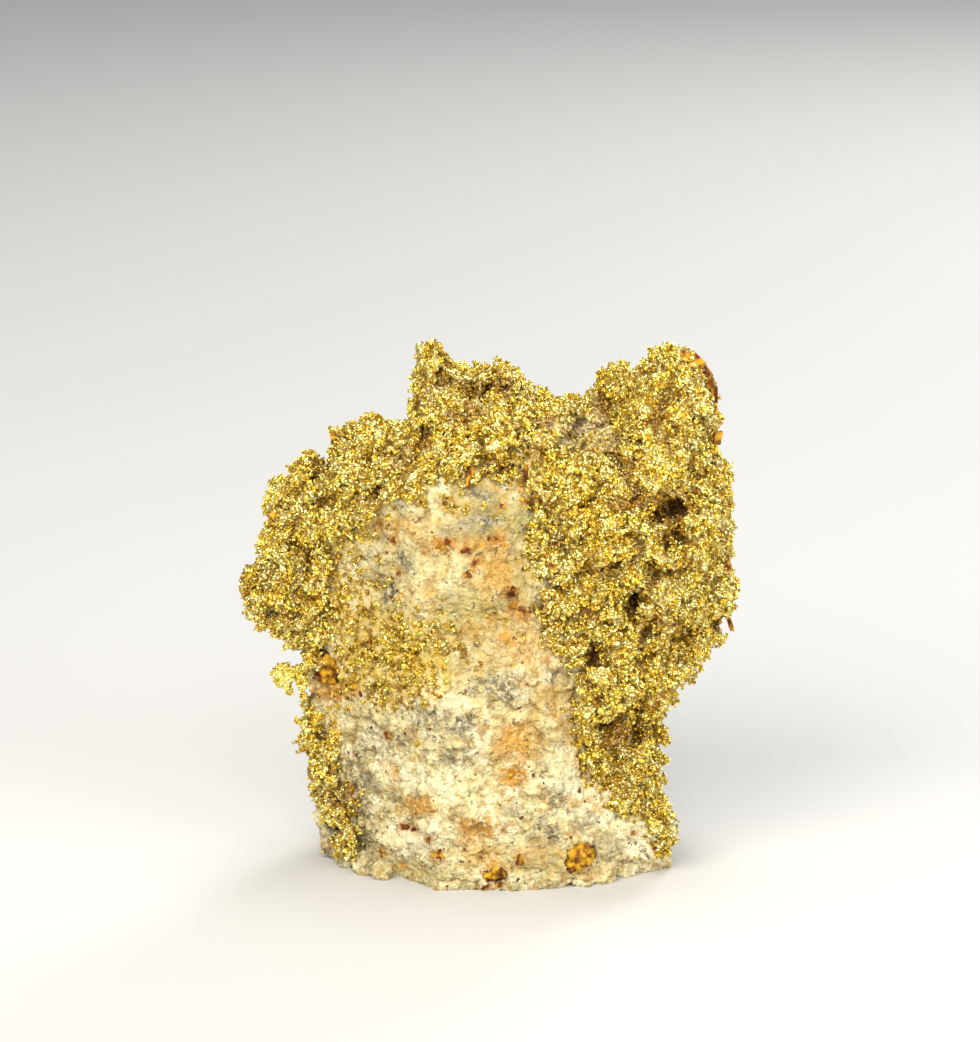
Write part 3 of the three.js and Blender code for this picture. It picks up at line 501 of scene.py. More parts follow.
def relief_tree(name, flat_foot):
    """Relief along the normals: wavering cells of two widths and a fine noise. It keeps the hollows and
    a slow wavering as attributes for the colours."""
    tree, given = start_tree(name, RELIEF_SIZES)
    place = add_node(tree, "GeometryNodeInputPosition")
    normal = add_node(tree, "GeometryNodeInputNormal")
    scales = {
        layer: add_node(tree, MATH, {0: 1.0, 1: given[layer + " width"]}, operation="DIVIDE")
        for layer in ("Cell", "Grain")
    }

    # A slow wavering bends the cells, and later the patches of colour
    waver = add_node(tree, NOISE, {"Vector": place, "Scale": scales["Cell"], "Detail": 3.0}, "Color")
    centred = add_node(tree, VECTOR_MATH, {0: waver, 1: (0.5, 0.5, 0.5)}, operation="SUBTRACT")
    reach = add_node(tree, MATH, {0: given["Cell width"], 1: 1.1}, operation="MULTIPLY")
    moved = add_node(tree, VECTOR_MATH, {0: centred, "Scale": reach}, operation="SCALE")
    warped = add_node(tree, VECTOR_MATH, {0: place, 1: moved}, operation="ADD")

    # Each cell is a step where it is angular and a dome where it is round
    parts, hollows = [], []
    for layer, scale in scales.items():
        cells = add_node(tree, VORONOI, {"Vector": warped, "Scale": scale}, None).outputs
        far = cells["Distance"]
        ends = {"Value": far, "From Min": 0.15, "From Max": 0.8, "To Min": 0.5, "To Max": -0.9}
        dome = add_node(tree, MAP_RANGE, ends, interpolation_type="SMOOTHSTEP")
        tint = add_node(tree, SEPARATE, {0: cells["Color"]})
        step = add_node(tree, MATH, {0: tint, 1: 0.5}, operation="SUBTRACT")
        mixed = add_node(tree, MIX, {0: given["Roundness"], 2: step, 3: dome}, data_type="FLOAT")
        parts.append(add_node(tree, MATH, {0: mixed, 1: given[layer + " height"]}, operation="MULTIPLY"))
        hollows.append(add_node(tree, MAP_RANGE, {"Value": far, "From Min": 0.42, "From Max": 0.8}))

    fine = add_node(tree, NOISE, {"Vector": place, "Scale": scales["Grain"], "Detail": 2.0})
    fine = add_node(tree, MATH, {0: fine, 1: 0.5}, operation="SUBTRACT")
    fine = add_node(tree, MATH, {0: fine, 1: given["Grain height"]}, operation="MULTIPLY")

    # Gaps open along some of the cells' edges
    ends = {"Vector": warped, "Scale": scales["Cell"]}
    edge = add_node(tree, VORONOI, ends, "Distance", feature="DISTANCE_TO_EDGE")
    ends = {"Value": edge, "From Min": 0.02, "From Max": 0.17, "To Min": 1.0, "To Max": 0.0}
    gap = add_node(tree, MAP_RANGE, ends)
    ajar = add_node(tree, SEPARATE, {0: centred}, 1)
    ajar = add_node(tree, MAP_RANGE, {"Value": ajar, "From Min": -0.08, "From Max": 0.04})
    gap = add_node(tree, MATH, {0: gap, 1: ajar}, operation="MULTIPLY")
    sunk = add_node(tree, MATH, {0: gap, 1: given["Gap depth"]}, operation="MULTIPLY")

    total, low = parts[0], hollows[0]
    for part, operation in ((parts[1], "ADD"), (fine, "ADD"), (sunk, "SUBTRACT")):
        total = add_node(tree, MATH, {0: total, 1: part}, operation=operation)
    for other in (hollows[1], gap):
        low = add_node(tree, MATH, {0: low, 1: other}, operation="MAXIMUM")
    offset = add_node(tree, VECTOR_MATH, {0: normal, "Scale": total}, operation="SCALE")
    if flat_foot:
        height = add_node(tree, SEPARATE, {0: place}, 2)
        above = add_node(tree, MAP_RANGE, {"Value": height, "From Min": 0.3 * MM, "From Max": 1.2 * MM})
        level = add_node(tree, COMBINE, {0: 1.0, 1: 1.0, 2: above})
        offset = add_node(tree, VECTOR_MATH, {0: offset, 1: level}, operation="MULTIPLY")
    shape = given["Geometry"]
    for label, kind, value in (("hollow", "FLOAT", low), ("waver", "FLOAT_VECTOR", centred)):
        ends = {"Geometry": shape, "Name": label, "Value": value}
        shape = add_node(tree, STORE, ends, data_type=kind, domain="POINT")
    shape = add_node(tree, SET_POSITION, {"Geometry": shape, "Offset": offset})
    return end_tree(tree, given, shape, True)


def scatter_points(tree, given, amount):
    """Points on a surface, as many as the named attribute allows at each place."""
    share = add_node(tree, "GeometryNodeInputNamedAttribute", {"Name": given["Share"]}, data_type="FLOAT")
    density = add_node(tree, MATH, {0: share, 1: given[amount]}, operation="MULTIPLY")
    ends = {"Mesh": given["Geometry"], "Density": density, "Seed": given["Seed"]}
    return add_node(tree, SCATTER, ends, None).outputs


def grow_crystals(tree, given, points, cubes, stretch, seeds):
    """Crystals on points, octahedra and a share of cubes. Each has its own turn, size, length and tone."""
    octahedron = add_node(tree, "GeometryNodeMeshUVSphere", {"Segments": 4, "Rings": 2, "Radius": 1.0})
    cube = add_node(tree, "GeometryNodeMeshCube", {"Size": (1.25, 1.25, 1.25)})
    shapes = add_node(tree, TO_INSTANCE, {0: [octahedron, cube]})
    draws = (
        ("BOOLEAN", 3, {"Probability": cubes}),
        ("FLOAT_VECTOR", 0, {0: (0, 0, 0), 1: (math.tau, math.tau, math.tau)}),
        ("FLOAT", 1, {2: given["Smallest"], 3: given["Largest"]}),
        ("FLOAT", 1, {2: 1.0, 3: stretch}),
        ("FLOAT", 1, {2: 0.0, 3: 1.0}),
    )
    pick, turn, size, long, tone = (
        add_node(tree, RANDOM, {**ends, 8: seed}, output, data_type=kind)
        for (kind, output, ends), seed in zip(draws, seeds)
    )
    tall = add_node(tree, MATH, {0: size, 1: long}, operation="MULTIPLY")
    scale = add_node(tree, COMBINE, {0: size, 1: size, 2: tall})
    ends = {"Points": points, "Instance": shapes, "Pick Instance": True, "Instance Index": pick}
    grown = add_node(tree, INSTANCE, {**ends, "Rotation": turn, "Scale": scale})
    ends = {"Geometry": grown, "Name": "tone", "Value": tone}
    return add_node(tree, STORE, ends, data_type="FLOAT", domain="INSTANCE")


def crystal_tree(name):
    """Small crystals strewn over a surface, as many as the named attribute allows at each place."""
    floats = ("Crystals", "Smallest", "Largest", "Sink", "Rise", "Stretch")
    tree, given = start_tree(name, floats, Share="String", Seed="Int")
    points = scatter_points(tree, given, "Crystals")
    lift = add_node(tree, RANDOM, {2: given["Sink"], 3: given["Rise"], 8: 3}, 1, data_type="FLOAT")
    offset = add_node(tree, VECTOR_MATH, {0: points["Normal"], "Scale": lift}, operation="SCALE")
    raised = add_node(tree, SET_POSITION, {"Geometry": points["Points"], "Offset": offset})
    grown = grow_crystals(tree, given, raised, 0.2, given["Stretch"], (5, 11, 13, 17, 19))
    return end_tree(tree, given, grown, False)


def tuft_tree(name):
    """Tufts of small crystals standing on a surface, as many as the named attribute allows at each place.
    Each crystal keeps a random tone, and its depth in the tuft, 0 at the tips and 1 at the foot, which the
    gold's material turns into painted shade."""
    floats = ("Tufts", "Smallest", "Largest", "Width", "Height")
    tree, given = start_tree(name, floats, Share="String", Seed="Int")
    points = scatter_points(tree, given, "Tufts")
    wide, high = given["Width"], given["Height"]
    back = add_node(tree, MATH, {0: wide, 1: -1.0}, operation="MULTIPLY")
    lowest = add_node(tree, COMBINE, {0: back, 1: back, 2: 0.0})
    highest = add_node(tree, COMBINE, {0: wide, 1: wide, 2: high})
    tufts = []
    for kind in range(TUFT_KINDS):
        first = SEEDS_A_KIND * kind
        spot = add_node(tree, RANDOM, {0: lowest, 1: highest, 8: first}, data_type="FLOAT_VECTOR")
        spots = add_node(tree, "GeometryNodePoints", {"Count": CRYSTALS_IN_TUFT, "Position": spot})
        grown = grow_crystals(tree, given, spots, 0.25, 1.7, range(first + 1, first + 6))
        rise = add_node(tree, SEPARATE, {0: add_node(tree, "GeometryNodeInputPosition")}, 2)
        depth = add_node(tree, MAP_RANGE, {"Value": rise, "From Max": high, "To Min": 1.0, "To Max": 0.0})
        ends = {"Geometry": grown, "Name": "depth", "Value": depth}
        grown = add_node(tree, STORE, ends, data_type="FLOAT", domain="INSTANCE")
        tufts.append(add_node(tree, REALIZE, {"Geometry": grown}))
    kinds = add_node(tree, TO_INSTANCE, {0: tufts})
    which = add_node(tree, RANDOM, {4: 0, 5: TUFT_KINDS - 1, 8: 5}, 2, data_type="INT")
    ends = {0: (-0.5, -0.5, 0), 1: (0.5, 0.5, math.tau), 8: 6}
    lean = add_node(tree, RANDOM, ends, data_type="FLOAT_VECTOR")
    ends = {0: points["Rotation"], 1: lean}
    stand = add_node(tree, "FunctionNodeRotateRotation", ends, rotation_space="LOCAL")
    reach = add_node(tree, RANDOM, {2: 0.7, 3: 1.25, 8: 7}, 1, data_type="FLOAT")
    ends = {"Points": points["Points"], "Instance": kinds, "Pick Instance": True, "Instance Index": which}
    tufted = add_node(tree, INSTANCE, {**ends, "Rotation": stand, "Scale": reach})
    return end_tree(tree, given, tufted, False)


# What is strewn over a surface: the tree's name and what builds it
STREWN_CRYSTALS = ("Strewn crystals", crystal_tree)
STREWN_TUFTS = ("Tufts of crystals", tuft_tree)


# Meshes


def mesh_piece(name, mesh):
    piece = bpy.data.objects.new(name, mesh)
    bpy.context.scene.collection.objects.link(piece)
    return piece


def join_balls(piece, balls):
    """Adds balls to a piece's mesh, for the remesh to melt in: x, y, z and radius in millimetres."""
    shell = bmesh.new()
    shell.from_mesh(piece.data)
    for x, y, z, radius in balls:
        ball = bmesh.ops.create_icosphere(shell, subdivisions=3, radius=radius * MM)
        bmesh.ops.translate(shell, verts=ball["verts"], vec=Vector((x, y, z)) * MM)
    shell.to_mesh(piece.data)
    shell.free()


def cad_copy(node, name):
    """A new piece from a CAD node's mesh, with its doubles merged."""
    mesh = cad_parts[node].data.copy()
    mesh.materials.clear()
    shell = bmesh.new()
    shell.from_mesh(mesh)
    bmesh.ops.remove_doubles(shell, verts=shell.verts, dist=MM / 1000)
    shell.to_mesh(mesh)
    shell.free()
    return mesh_piece(name, mesh)


def settle(piece):
    """Makes what the piece's modifiers give its plain mesh, and removes them."""
    graph = bpy.context.evaluated_depsgraph_get()
    mesh = bpy.data.meshes.new_from_object(
        piece.evaluated_get(graph), preserve_all_data_layers=True, depsgraph=graph
    )
    piece.modifiers.clear()
    old = piece.data
    piece.data = mesh
    bpy.data.meshes.remove(old)
    mesh.name = piece.name
    if not mesh.vertices:
        raise RuntimeError(f"{piece.name} came out empty")
    named = [material for material in mesh.materials if material]
    mesh.materials.clear()
    mesh.materials.append(named[0])
    if "material_index" in mesh.attributes:
        mesh.attributes.remove(mesh.attributes["material_index"])


def skin_over(piece, width):
    modifier = piece.modifiers.new("Skin", "REMESH")
    modifier.mode = "VOXEL"
    modifier.voxel_size = width


def give_relief(piece, name, sizes, material, flat_foot=False):
    """Breaks a piece's surface up into cells and grains, and makes the result its plain mesh."""
    settings = {**dict(zip(RELIEF_SIZES, sizes)), "Material": material}
    run_tree(piece, tree_called(name, relief_tree, flat_foot), settings)
    settle(piece)


def strew(name, ground, share, values, material, seed, kind=STREWN_CRYSTALS):
    """A new piece of crystals strewn over the ground piece, where its named attribute allows them."""
    piece = mesh_piece(name, ground.data.copy())
    piece.data.materials.clear()
    settings = {"Share": share, "Material": material, "Seed": seed, **values}
    run_tree(piece, tree_called(*kind), settings)
    settle(piece)
    return piece


def points_of(mesh):
    """The mesh's points in millimetres, one row each."""
    flat = np.empty(len(mesh.vertices) * 3, np.float32)
    mesh.vertices.foreach_get("co", flat)
    return flat.reshape(-1, 3).astype(float) / MM


def normals_of(mesh):
    flat = np.empty(len(mesh.vertices) * 3, np.float32)
    mesh.vertex_normals.foreach_get("vector", flat)
    return flat.reshape(-1, 3).astype(float)


def set_points(mesh, points):
    mesh.vertices.foreach_set("co", (points * MM).astype(np.float32).ravel())
    mesh.update()


def read_attribute(mesh, name, width=1):
    values = np.empty(len(mesh.vertices) * width, np.float32)
    mesh.attributes[name].data.foreach_get("value" if width == 1 else "vector", values)
    return values.astype(float) if width == 1 else values.reshape(-1, width).astype(float)


def write_attribute(mesh, name, values):
    """Keeps a number at each point of the mesh, or one number at all of them."""
    layer = mesh.attributes.get(name) or mesh.attributes.new(name, "FLOAT", "POINT")
    layer.data.foreach_set("value", np.broadcast_to(values, len(mesh.vertices)).astype(np.float32))


def picture_place(points):
    """Across and up the picture plane, in millimetres, for points in millimetres."""
    return points[:, 0], (points[:, 1] - FRONT_Y) * TILT_SIN + points[:, 2] * TILT_COS


def keep_in_box(piece):
    """Holds a piece's outermost points on the sides of the CAD model's box."""
    low, high = (np.array(corner) / MM for corner in CAD_BOX)
    set_points(piece.data, np.clip(points_of(piece.data), low, high))


def blobs(x, v, patches, waver, reach):
    """Soft ragged patches on the picture plane, from 0 to 1."""
    across, up = x + reach * waver[:, 0], v + reach * waver[:, 2]
    field = np.zeros(len(x))
    for patch_x, patch_v, wide, tall, strength in patches:
        far = ((across - patch_x) / wide) ** 2 + ((up - patch_v) / tall) ** 2
        field = np.maximum(field, strength * np.exp(-(far**1.5)))
    return field


def facing_front(normals):
    """How far the quartz faces the front at each point, from 0 to 1."""
    return np.clip(0.4 - 1.6 * normals[:, 1], 0, 1)


def tree_of(piece):
    """A search tree over a piece's faces."""
    return BVHTree.FromObject(piece, bpy.context.evaluated_depsgraph_get())


def distance_to(search, points, reach):
    """Distance in millimetres from each point to a searched surface, and whether it lies inside it."""
    far = np.full(len(points), reach)
    inside = np.zeros(len(points), bool)
    for i, point in enumerate(points):
        place = Vector(point) * MM
        found, normal, _, gap = search.find_nearest(place, reach * MM)
        if found is not None:
            far[i] = gap / MM
            inside[i] = (place - found).dot(normal) < 0
    return far, inside


def finish_piece(piece, slot, *nodes):
    """Holds a finished piece in the CAD model's box, gives it its body and hides the CAD nodes that it
    stands for. Its slot is not used.
    """
    keep_in_box(piece)
    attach(piece, "root")
    if nodes:
        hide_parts(*nodes)


# Materials


def start_material(name):
    """A node material, its shader, and the Object coordinates that its patterns read."""
    material = bpy.data.materials.new(name)
    material.use_nodes = True
    tree = material.node_tree
    tree.nodes.clear()
    shader = add_node(tree, "ShaderNodeBsdfPrincipled", output=None)
    add_node(tree, "ShaderNodeOutputMaterial", {"Surface": shader.outputs[0]}, None)
    return material, tree, shader, add_node(tree, "ShaderNodeTexCoord", output="Object")


def per_mm(width):
    """A texture's scale for a feature of that width in millimetres, on Object coordinates in metres."""
    return 1 / (width * MM)


def gold_material():
    """Native gold: bright crystal faces, painted deeper and browner down each tuft towards its foot and
    between the skin's bump facets as painted shade, with a brown film in the hollows that is partly iron
    oxide and partly painted shade. Its facets, 0.44 mm wide, give the glitter of a mass of small crystals."""
    found = bpy.data.materials.get("native_gold")
    if found:
        return found
    look = bpy.context.scene.specimen.gold
    material, tree, shader, place = start_material("native_gold")
    marks = {
        name: add_node(tree, ATTRIBUTE, None, "Fac", attribute_name=name)
        for name in ("tone", "hollow", "brown", "skin", "depth", "chalk")
    }
    drift = add_node(tree, NOISE, {"Vector": place, "Scale": per_mm(5.0), "Detail": 4.0})
    murk = add_node(tree, NOISE, {"Vector": place, "Scale": per_mm(2.2), "Detail": 3.0})
    wobble = add_node(tree, NOISE, {"Vector": place, "Scale": per_mm(0.5), "Detail": 1.0}, "Color")
    ends = {0: wobble, 1: (0.3 * MM, 0.3 * MM, 0.3 * MM), 2: place}
    bent = add_node(tree, VECTOR_MATH, ends, operation="MULTIPLY_ADD")
    facets = add_node(tree, VORONOI, {"Vector": bent, "Scale": per_mm(0.44)}, "Distance")
    ends = {"Value": drift, "From Min": 0.35, "From Max": 0.65, "To Min": -0.2, "To Max": 0.25}
    shade = add_node(tree, MAP_RANGE, ends)
    # The masks: lower and foot paint shade down each tuft, film darkens the hollows as partly iron oxide
    # and partly painted shade, the facet mask paints shade between the skin's facets, and murk is random
    # browning
    lower, film, foot, facet_shade, murk = (
        add_node(tree, MAP_RANGE, {"Value": source, "From Min": low, "From Max": high, "To Max": top})
        for source, low, high, top in (
            (marks["depth"], 0.3, 0.9, 0.7),
            (marks["hollow"], 0.45, 1.0, 0.8),
            (marks["depth"], 0.5, 1.0, 0.6),
            (facets, 0.5, 0.8, 0.7),
            (murk, 0.54, 0.74, 0.5),
        )
    )
    # The deeper gold: random tone and drift, plus painted shade lower down each tuft
    deep = add_node(tree, MATH, {0: marks["tone"], 1: shade}, operation="ADD")
    deep = add_node(tree, MATH, {0: deep, 1: lower}, operation="ADD", use_clamp=True)
    # Painted shade in the low edges of the skin's bump facets, only where the bare skin shows
    facet_shade = add_node(tree, MATH, {0: facet_shade, 1: marks["skin"]}, operation="MULTIPLY")
    # The brown film takes the painted shade at the tuft foot and between the facets, the browned and shaded
    # patches, and the random murk
    for mask in (foot, facet_shade, marks["brown"], murk):
        film = add_node(tree, MATH, {0: film, 1: mask}, operation="MAXIMUM")
    colour = (*look.bright, 1.0)
    for share, over in ((deep, look.deep), (film, look.brown), (marks["chalk"], look.chalk)):
        colour = add_node(tree, MIX, {0: share, 6: colour, 7: (*over, 1.0)}, 2, data_type="RGBA")
    metal = add_node(tree, MATH, {0: 1.0, 1: marks["chalk"]}, operation="SUBTRACT")
    rough = add_node(tree, MAP_RANGE, {"Value": film, "To Min": 0.36, "To Max": 0.6})
    height = add_node(tree, MATH, {0: 1.0, 1: facets}, operation="SUBTRACT")
    bump = add_node(tree, BUMP, {"Height": height, "Strength": 1.0, "Distance": 0.4 * MM})
    ends = {"Base Color": colour, "Metallic": metal, "Roughness": rough, "Normal": bump}
    for label, value in ends.items():
        tree.links.new(value, shader.inputs[label])
    return material


def quartz_material():
    """Milky vein quartz: sugary and slightly translucent, cream to white, with grey glassy parts, some
    painted as shade down the left side, ochre limonite stains, earth and painted shade in its hollows and
    fine dark specks."""
    found = bpy.data.materials.get("milky_vein_quartz")
    if found:
        return found
    look = bpy.context.scene.specimen.quartz
    material, tree, shader, place = start_material("milky_vein_quartz")
    values = {
        name: add_node(tree, ATTRIBUTE, None, "Fac", attribute_name=name)
        for name in ("white", "grey", "ochre", "rust", "hollow", "film", "gilt")
    }
    for name, width in (("broad", 4.0), ("middle", 1.4), ("small", 0.8), ("fine", 0.4)):
        ends = {"Vector": place, "Scale": per_mm(width), "Detail": 4.0, "Roughness": 0.6}
        values[name] = add_node(tree, NOISE, ends)

    # Stretches of the noises and masks: name, source, from low to high, greatest value
    for name, source, low, high, top in (
        ("milk", "broad", 0.4, 0.6, 1.0),
        ("clouds", "broad", 0.47, 0.4, 0.8),
        ("bands", "broad", 0.58, 0.64, 0.6),
        ("filmy", "middle", 0.3, 0.44, 1.0),
        ("seams", "middle", 0.52, 0.62, 0.6),
        ("earthy", "middle", 0.44, 0.56, 1.0),
        ("scattered", "middle", 0.42, 0.36, 1.0),
        ("glassy", "small", 0.36, 0.5, 1.0),
        ("soaked", "small", 0.3, 0.46, 1.0),
        ("spots", "small", 0.66, 0.7, 1.0),
        ("smoky", "small", 0.5, 0.55, 0.85),
        ("shaded", "small", 0.54, 0.48, 1.0),
        ("freckled", "fine", 0.52, 0.6, 1.0),
        ("broken", "fine", 0.4, 0.52, 1.0),
        ("specked", "fine", 0.49, 0.55, 0.85),
        ("crevice", "hollow", 0.4, 0.9, 0.6),
        ("gilding", "gilt", 0.1, 0.6, 0.9),
    ):
        ends = {"Value": values[source], "From Min": low, "From Max": high, "To Max": top}
        values[name] = add_node(tree, MAP_RANGE, ends)
    grain = add_node(tree, VORONOI, {"Vector": place, "Scale": per_mm(0.42)}, "Distance")
    bare = add_node(tree, MATH, {0: 1.0, 1: values["white"]}, operation="SUBTRACT")
    values |= {"grain": grain, "bare": bare}

    # Sums and products of them, held from 0 to 1: name, operation, first, second
    for name, operation, first, second in (
        ("clean", "MULTIPLY", "white", 0.9),
        ("filmed", "MULTIPLY", "film", "filmy"),
        ("seamed", "MULTIPLY", "seams", "bare"),
        ("clouded", "ADD", "grey", "clouds"),
        ("veil", "MULTIPLY", "clouded", "glassy"),
        ("stain", "MULTIPLY", "ochre", "soaked"),
        ("stain", "ADD", "stain", "bands"),
        ("stain", "MULTIPLY", "stain", 0.95),
        # The crevice mask lays earth and painted shade in the hollows, broken by the earthy noise and kept
        # off the white
        ("crevice", "MULTIPLY", "crevice", "earthy"),
        ("crevice", "MULTIPLY", "crevice", "bare"),
        ("freckle", "MULTIPLY", "ochre", "freckled"),
        ("flecks", "ADD", "spots", "freckle"),
        ("flecks", "ADD", "rust", "flecks"),
        ("flecks", "MULTIPLY", "flecks", "broken"),
        ("smoke", "MULTIPLY", "grey", "smoky"),
        ("shade", "MULTIPLY", "grey", "shaded"),
        ("specks", "ADD", "scattered", "shade"),
        ("specks", "MULTIPLY", "specks", "specked"),
        ("gilded", "MULTIPLY", "gilding", "soaked"),
        ("high", "MULTIPLY", "grain", 0.6),
        ("rough", "MULTIPLY", "fine", 0.8),
        ("height", "ADD", "high", "rough"),
    ):
        ends = {0: values[first], 1: values.get(second, second)}
        values[name] = add_node(tree, MATH, ends, operation=operation, use_clamp=True)

    colour = (*look.cream, 1.0)
    for share, over in (
        ("milk", look.white), ("clean", look.white), ("filmed", look.filmed), ("seamed", look.tan),
        ("veil", look.grey), ("stain", look.ochre), ("crevice", look.dirt_and_shade), ("flecks", look.rust),
        ("smoke", look.dark), ("specks", look.dark), ("gilded", look.gilded),
    ):
        ends = {0: values[share], 6: colour, 7: (*over, 1.0)}
        colour = add_node(tree, MIX, ends, 2, data_type="RGBA")
    gloss = add_node(tree, MAP_RANGE, {"Value": values["veil"], "To Min": 0.55, "To Max": 0.28})
    bump = add_node(tree, BUMP, {"Height": values["height"], "Strength": 1.0, "Distance": 0.32 * MM})
    for label, value in (("Base Color", colour), ("Roughness", gloss), ("Normal", bump)):
        tree.links.new(value, shader.inputs[label])
    shader.inputs["IOR"].default_value = 1.54
    shader.inputs["Subsurface Weight"].default_value = 0.08
    shader.inputs["Subsurface Radius"].default_value = (1.0, 0.8, 0.5)
    shader.inputs["Subsurface Scale"].default_value = 0.5 * MM
    return material


def limonite_material():
    """Limonite: dull earthy iron oxide, orange where it crumbles and dark brown where it is hard."""
    found = bpy.data.materials.get("earthy_limonite")
    if found:
        return found
    look = bpy.context.scene.specimen.limonite
    material, tree, shader, place = start_material("earthy_limonite")
    dark = add_node(tree, ATTRIBUTE, None, "Fac", attribute_name="dark")
    mottle = add_node(tree, NOISE, {"Vector": place, "Scale": per_mm(0.9), "Detail": 5.0})
    ends = {"Value": mottle, "From Min": 0.4, "From Max": 0.6, "To Min": -0.2, "To Max": 1.0}
    spread = add_node(tree, MAP_RANGE, ends)
    share = add_node(tree, MATH, {0: dark, 1: spread}, operation="ADD", use_clamp=True)
    ends = {0: share, 6: (*look.orange, 1.0), 7: (*look.dark, 1.0)}
    colour = add_node(tree, MIX, ends, 2, data_type="RGBA")
    bump = add_node(tree, BUMP, {"Height": mottle, "Strength": 0.7, "Distance": 0.2 * MM})
    for label, value in (("Base Color", colour), ("Normal", bump)):
        tree.links.new(value, shader.inputs[label])
    shader.inputs["Roughness"].default_value = 0.85
    shader.inputs["Specular IOR Level"].default_value = 0.3
    return material


# Pieces


class SPECIMEN_OT_quartz(bpy.types.Operator):
    """Breaks the quartz block's faces into chips and grains and maps its stains and patches, some of which
    are painted shade and shadow.
    """

    bl_idname = "specimen.quartz"
    bl_label = "Vein quartz"

    def execute(self, context):
        look = context.scene.specimen.quartz
        piece = cad_copy("quartz_matrix", "vein_quartz")
        join_balls(piece, QUARTZ_LUMPS)
        skin_over(piece, look.skin)
        sizes = (look.chip_width, look.chip_height, *QUARTZ_RELIEF)
        give_relief(piece, "Broken quartz", sizes, quartz_material(), flat_foot=True)
        mesh = piece.data
        points = points_of(mesh)
        facing = facing_front(normals_of(mesh))
        points[:, 2] = np.where(points[:, 2] < FLAT_FOOT, 0.0, points[:, 2])
        set_points(mesh, points)
        x, v = picture_place(points)
        waver = read_attribute(mesh, "waver", 3)
        for kind, patches in QUARTZ_PATCHES.items():
            write_attribute(mesh, kind, blobs(x, v, patches, waver, 3.0) * facing)
        # Halos of rust round the chips on the front: partly stain and partly painted shadow round the
        # sunken chips
        reaches = [(chip[0], chip[1], 0.35 + 0.4 * chip[2]) for chip in RUST_CHIPS]
        halos = [(chip_x, chip_v, reach, reach, 0.9) for chip_x, chip_v, reach in reaches]
        stain = np.maximum(read_attribute(mesh, "rust"), blobs(x, v, halos, waver, 0.8) * facing)
        write_attribute(mesh, "rust", stain)
        finish_piece(piece, "quartz", "quartz_matrix")
        return {"FINISHED"}


def cut_notches(piece):
    """Presses the round notches into the outline of a gold piece."""
    points = points_of(piece.data)
    for x, v, radius, way_x, way_v in GOLD_NOTCHES:
        place_x, place_v = picture_place(points)
        across, up = place_x - x, place_v - v
        along = across * way_x + up * way_v
        aside = up * way_x - across * way_v
        reach = np.sqrt(np.clip(radius**2 - aside**2, 0, None))
        inside = (np.abs(aside) < radius) & (along < reach) & (along > -3 * radius)
        push = np.where(inside, reach - along, 0)
        points[:, 0] += push * way_x
        points[:, 2] += push * way_v / TILT_COS
    set_points(piece.data, points)


def sponge(piece, look, seed, quartz):
    """Draws a gold piece's core in, except where it spreads to meet the quartz, and notches it. Then it
    melts lumps over the core, skins them twice to smooth them, and gives the skin the sponge's relief."""
    points = points_of(piece.data)
    far, _ = distance_to(quartz, points, 2.0)
    move = np.where(far < CONTACT_REACH, CONTACT_SPREAD, -look.shrink / MM)
    set_points(piece.data, points + normals_of(piece.data) * move[:, None])
    if piece.name == "gold_sponge":
        join_balls(piece, GOLD_LUMPS)
    cut_notches(piece)
    settings = {
        "Lumps": look.lumps / MM**2,
        "Smallest": look.lump_smallest,
        "Largest": look.lump_largest,
        "Seed": seed,
        "Material": gold_material(),
    }
    run_tree(piece, tree_called("Lumps on a surface", lump_tree), settings)
    for _ in range(2):
        skin_over(piece, look.skin)
    give_relief(piece, "Gold sponge", GOLD_RELIEF, gold_material())


def press_hollows(piece, quartz):
    """Presses the hollows and cracks into a gold piece's front, and marks where it is hollow, browned by
    oxide or painted with shade, dusty with quartz or open for crystals."""
    mesh = piece.data
    points, normals = points_of(mesh), normals_of(mesh)
    x, v = picture_place(points)
    waver = read_attribute(mesh, "waver", 3)
    hollow = read_attribute(mesh, "hollow")
    facing = np.clip(0.5 - 1.5 * normals[:, 1], 0, 1)
    across, up = x + HOLLOW_WANDER * waver[:, 0], v + HOLLOW_WANDER * waver[:, 2]
    push, bared = np.zeros(len(x)), np.zeros(len(x))
    for from_x, from_v, to_x, to_v, wide, deep in GOLD_HOLLOWS:
        run = np.array([to_x - from_x, to_v - from_v])
        along = np.clip(((across - from_x) * run[0] + (up - from_v) * run[1]) / run.dot(run), 0, 1)
        far = np.hypot(across - from_x - along * run[0], up - from_v - along * run[1]) / (1.2 * wide)
        push = np.maximum(push, deep * np.exp(-(far**2.4)))
    front = np.clip((HOLLOW_Y[1] - points[:, 1]) / (HOLLOW_Y[1] - HOLLOW_Y[0]), 0, 1)
    push *= facing * front
    # Deep pressed hollows also get the brown film, partly iron oxide and partly painted shade
    hollow = np.maximum(hollow, np.clip(push / FULL_HOLLOW, 0, 1))
    for bare_x, bare_v, wide, tall, deep in GOLD_BARED:
        far = np.hypot((across - bare_x) / wide, (up - bare_v) / tall)
        bared = np.maximum(bared, deep * np.exp(-(far**6)))
    points[:, 1] += np.maximum(push, bared * front * (normals[:, 1] < 0.2))
    set_points(mesh, points)
    write_attribute(mesh, "hollow", hollow)
    # Brown patches: iron oxide, and painted shade on the crest, under the top knobs and in the clefts
    write_attribute(mesh, "brown", blobs(x, v, GOLD_BROWN_AND_SHADE, waver, 2.5) * facing)
    write_attribute(mesh, "chalk", blobs(x, v, GOLD_CHALK, waver, 2.5) * facing)
    far, inside = distance_to(quartz, points, 0.5)
    bare = np.where(inside, 0.0, np.clip(far / 0.25, 0, 1)) * (1 - 0.75 * hollow**2)
    write_attribute(mesh, "open", bare * np.where(normals[:, 1] > 0.3, 0.65, 1.0))


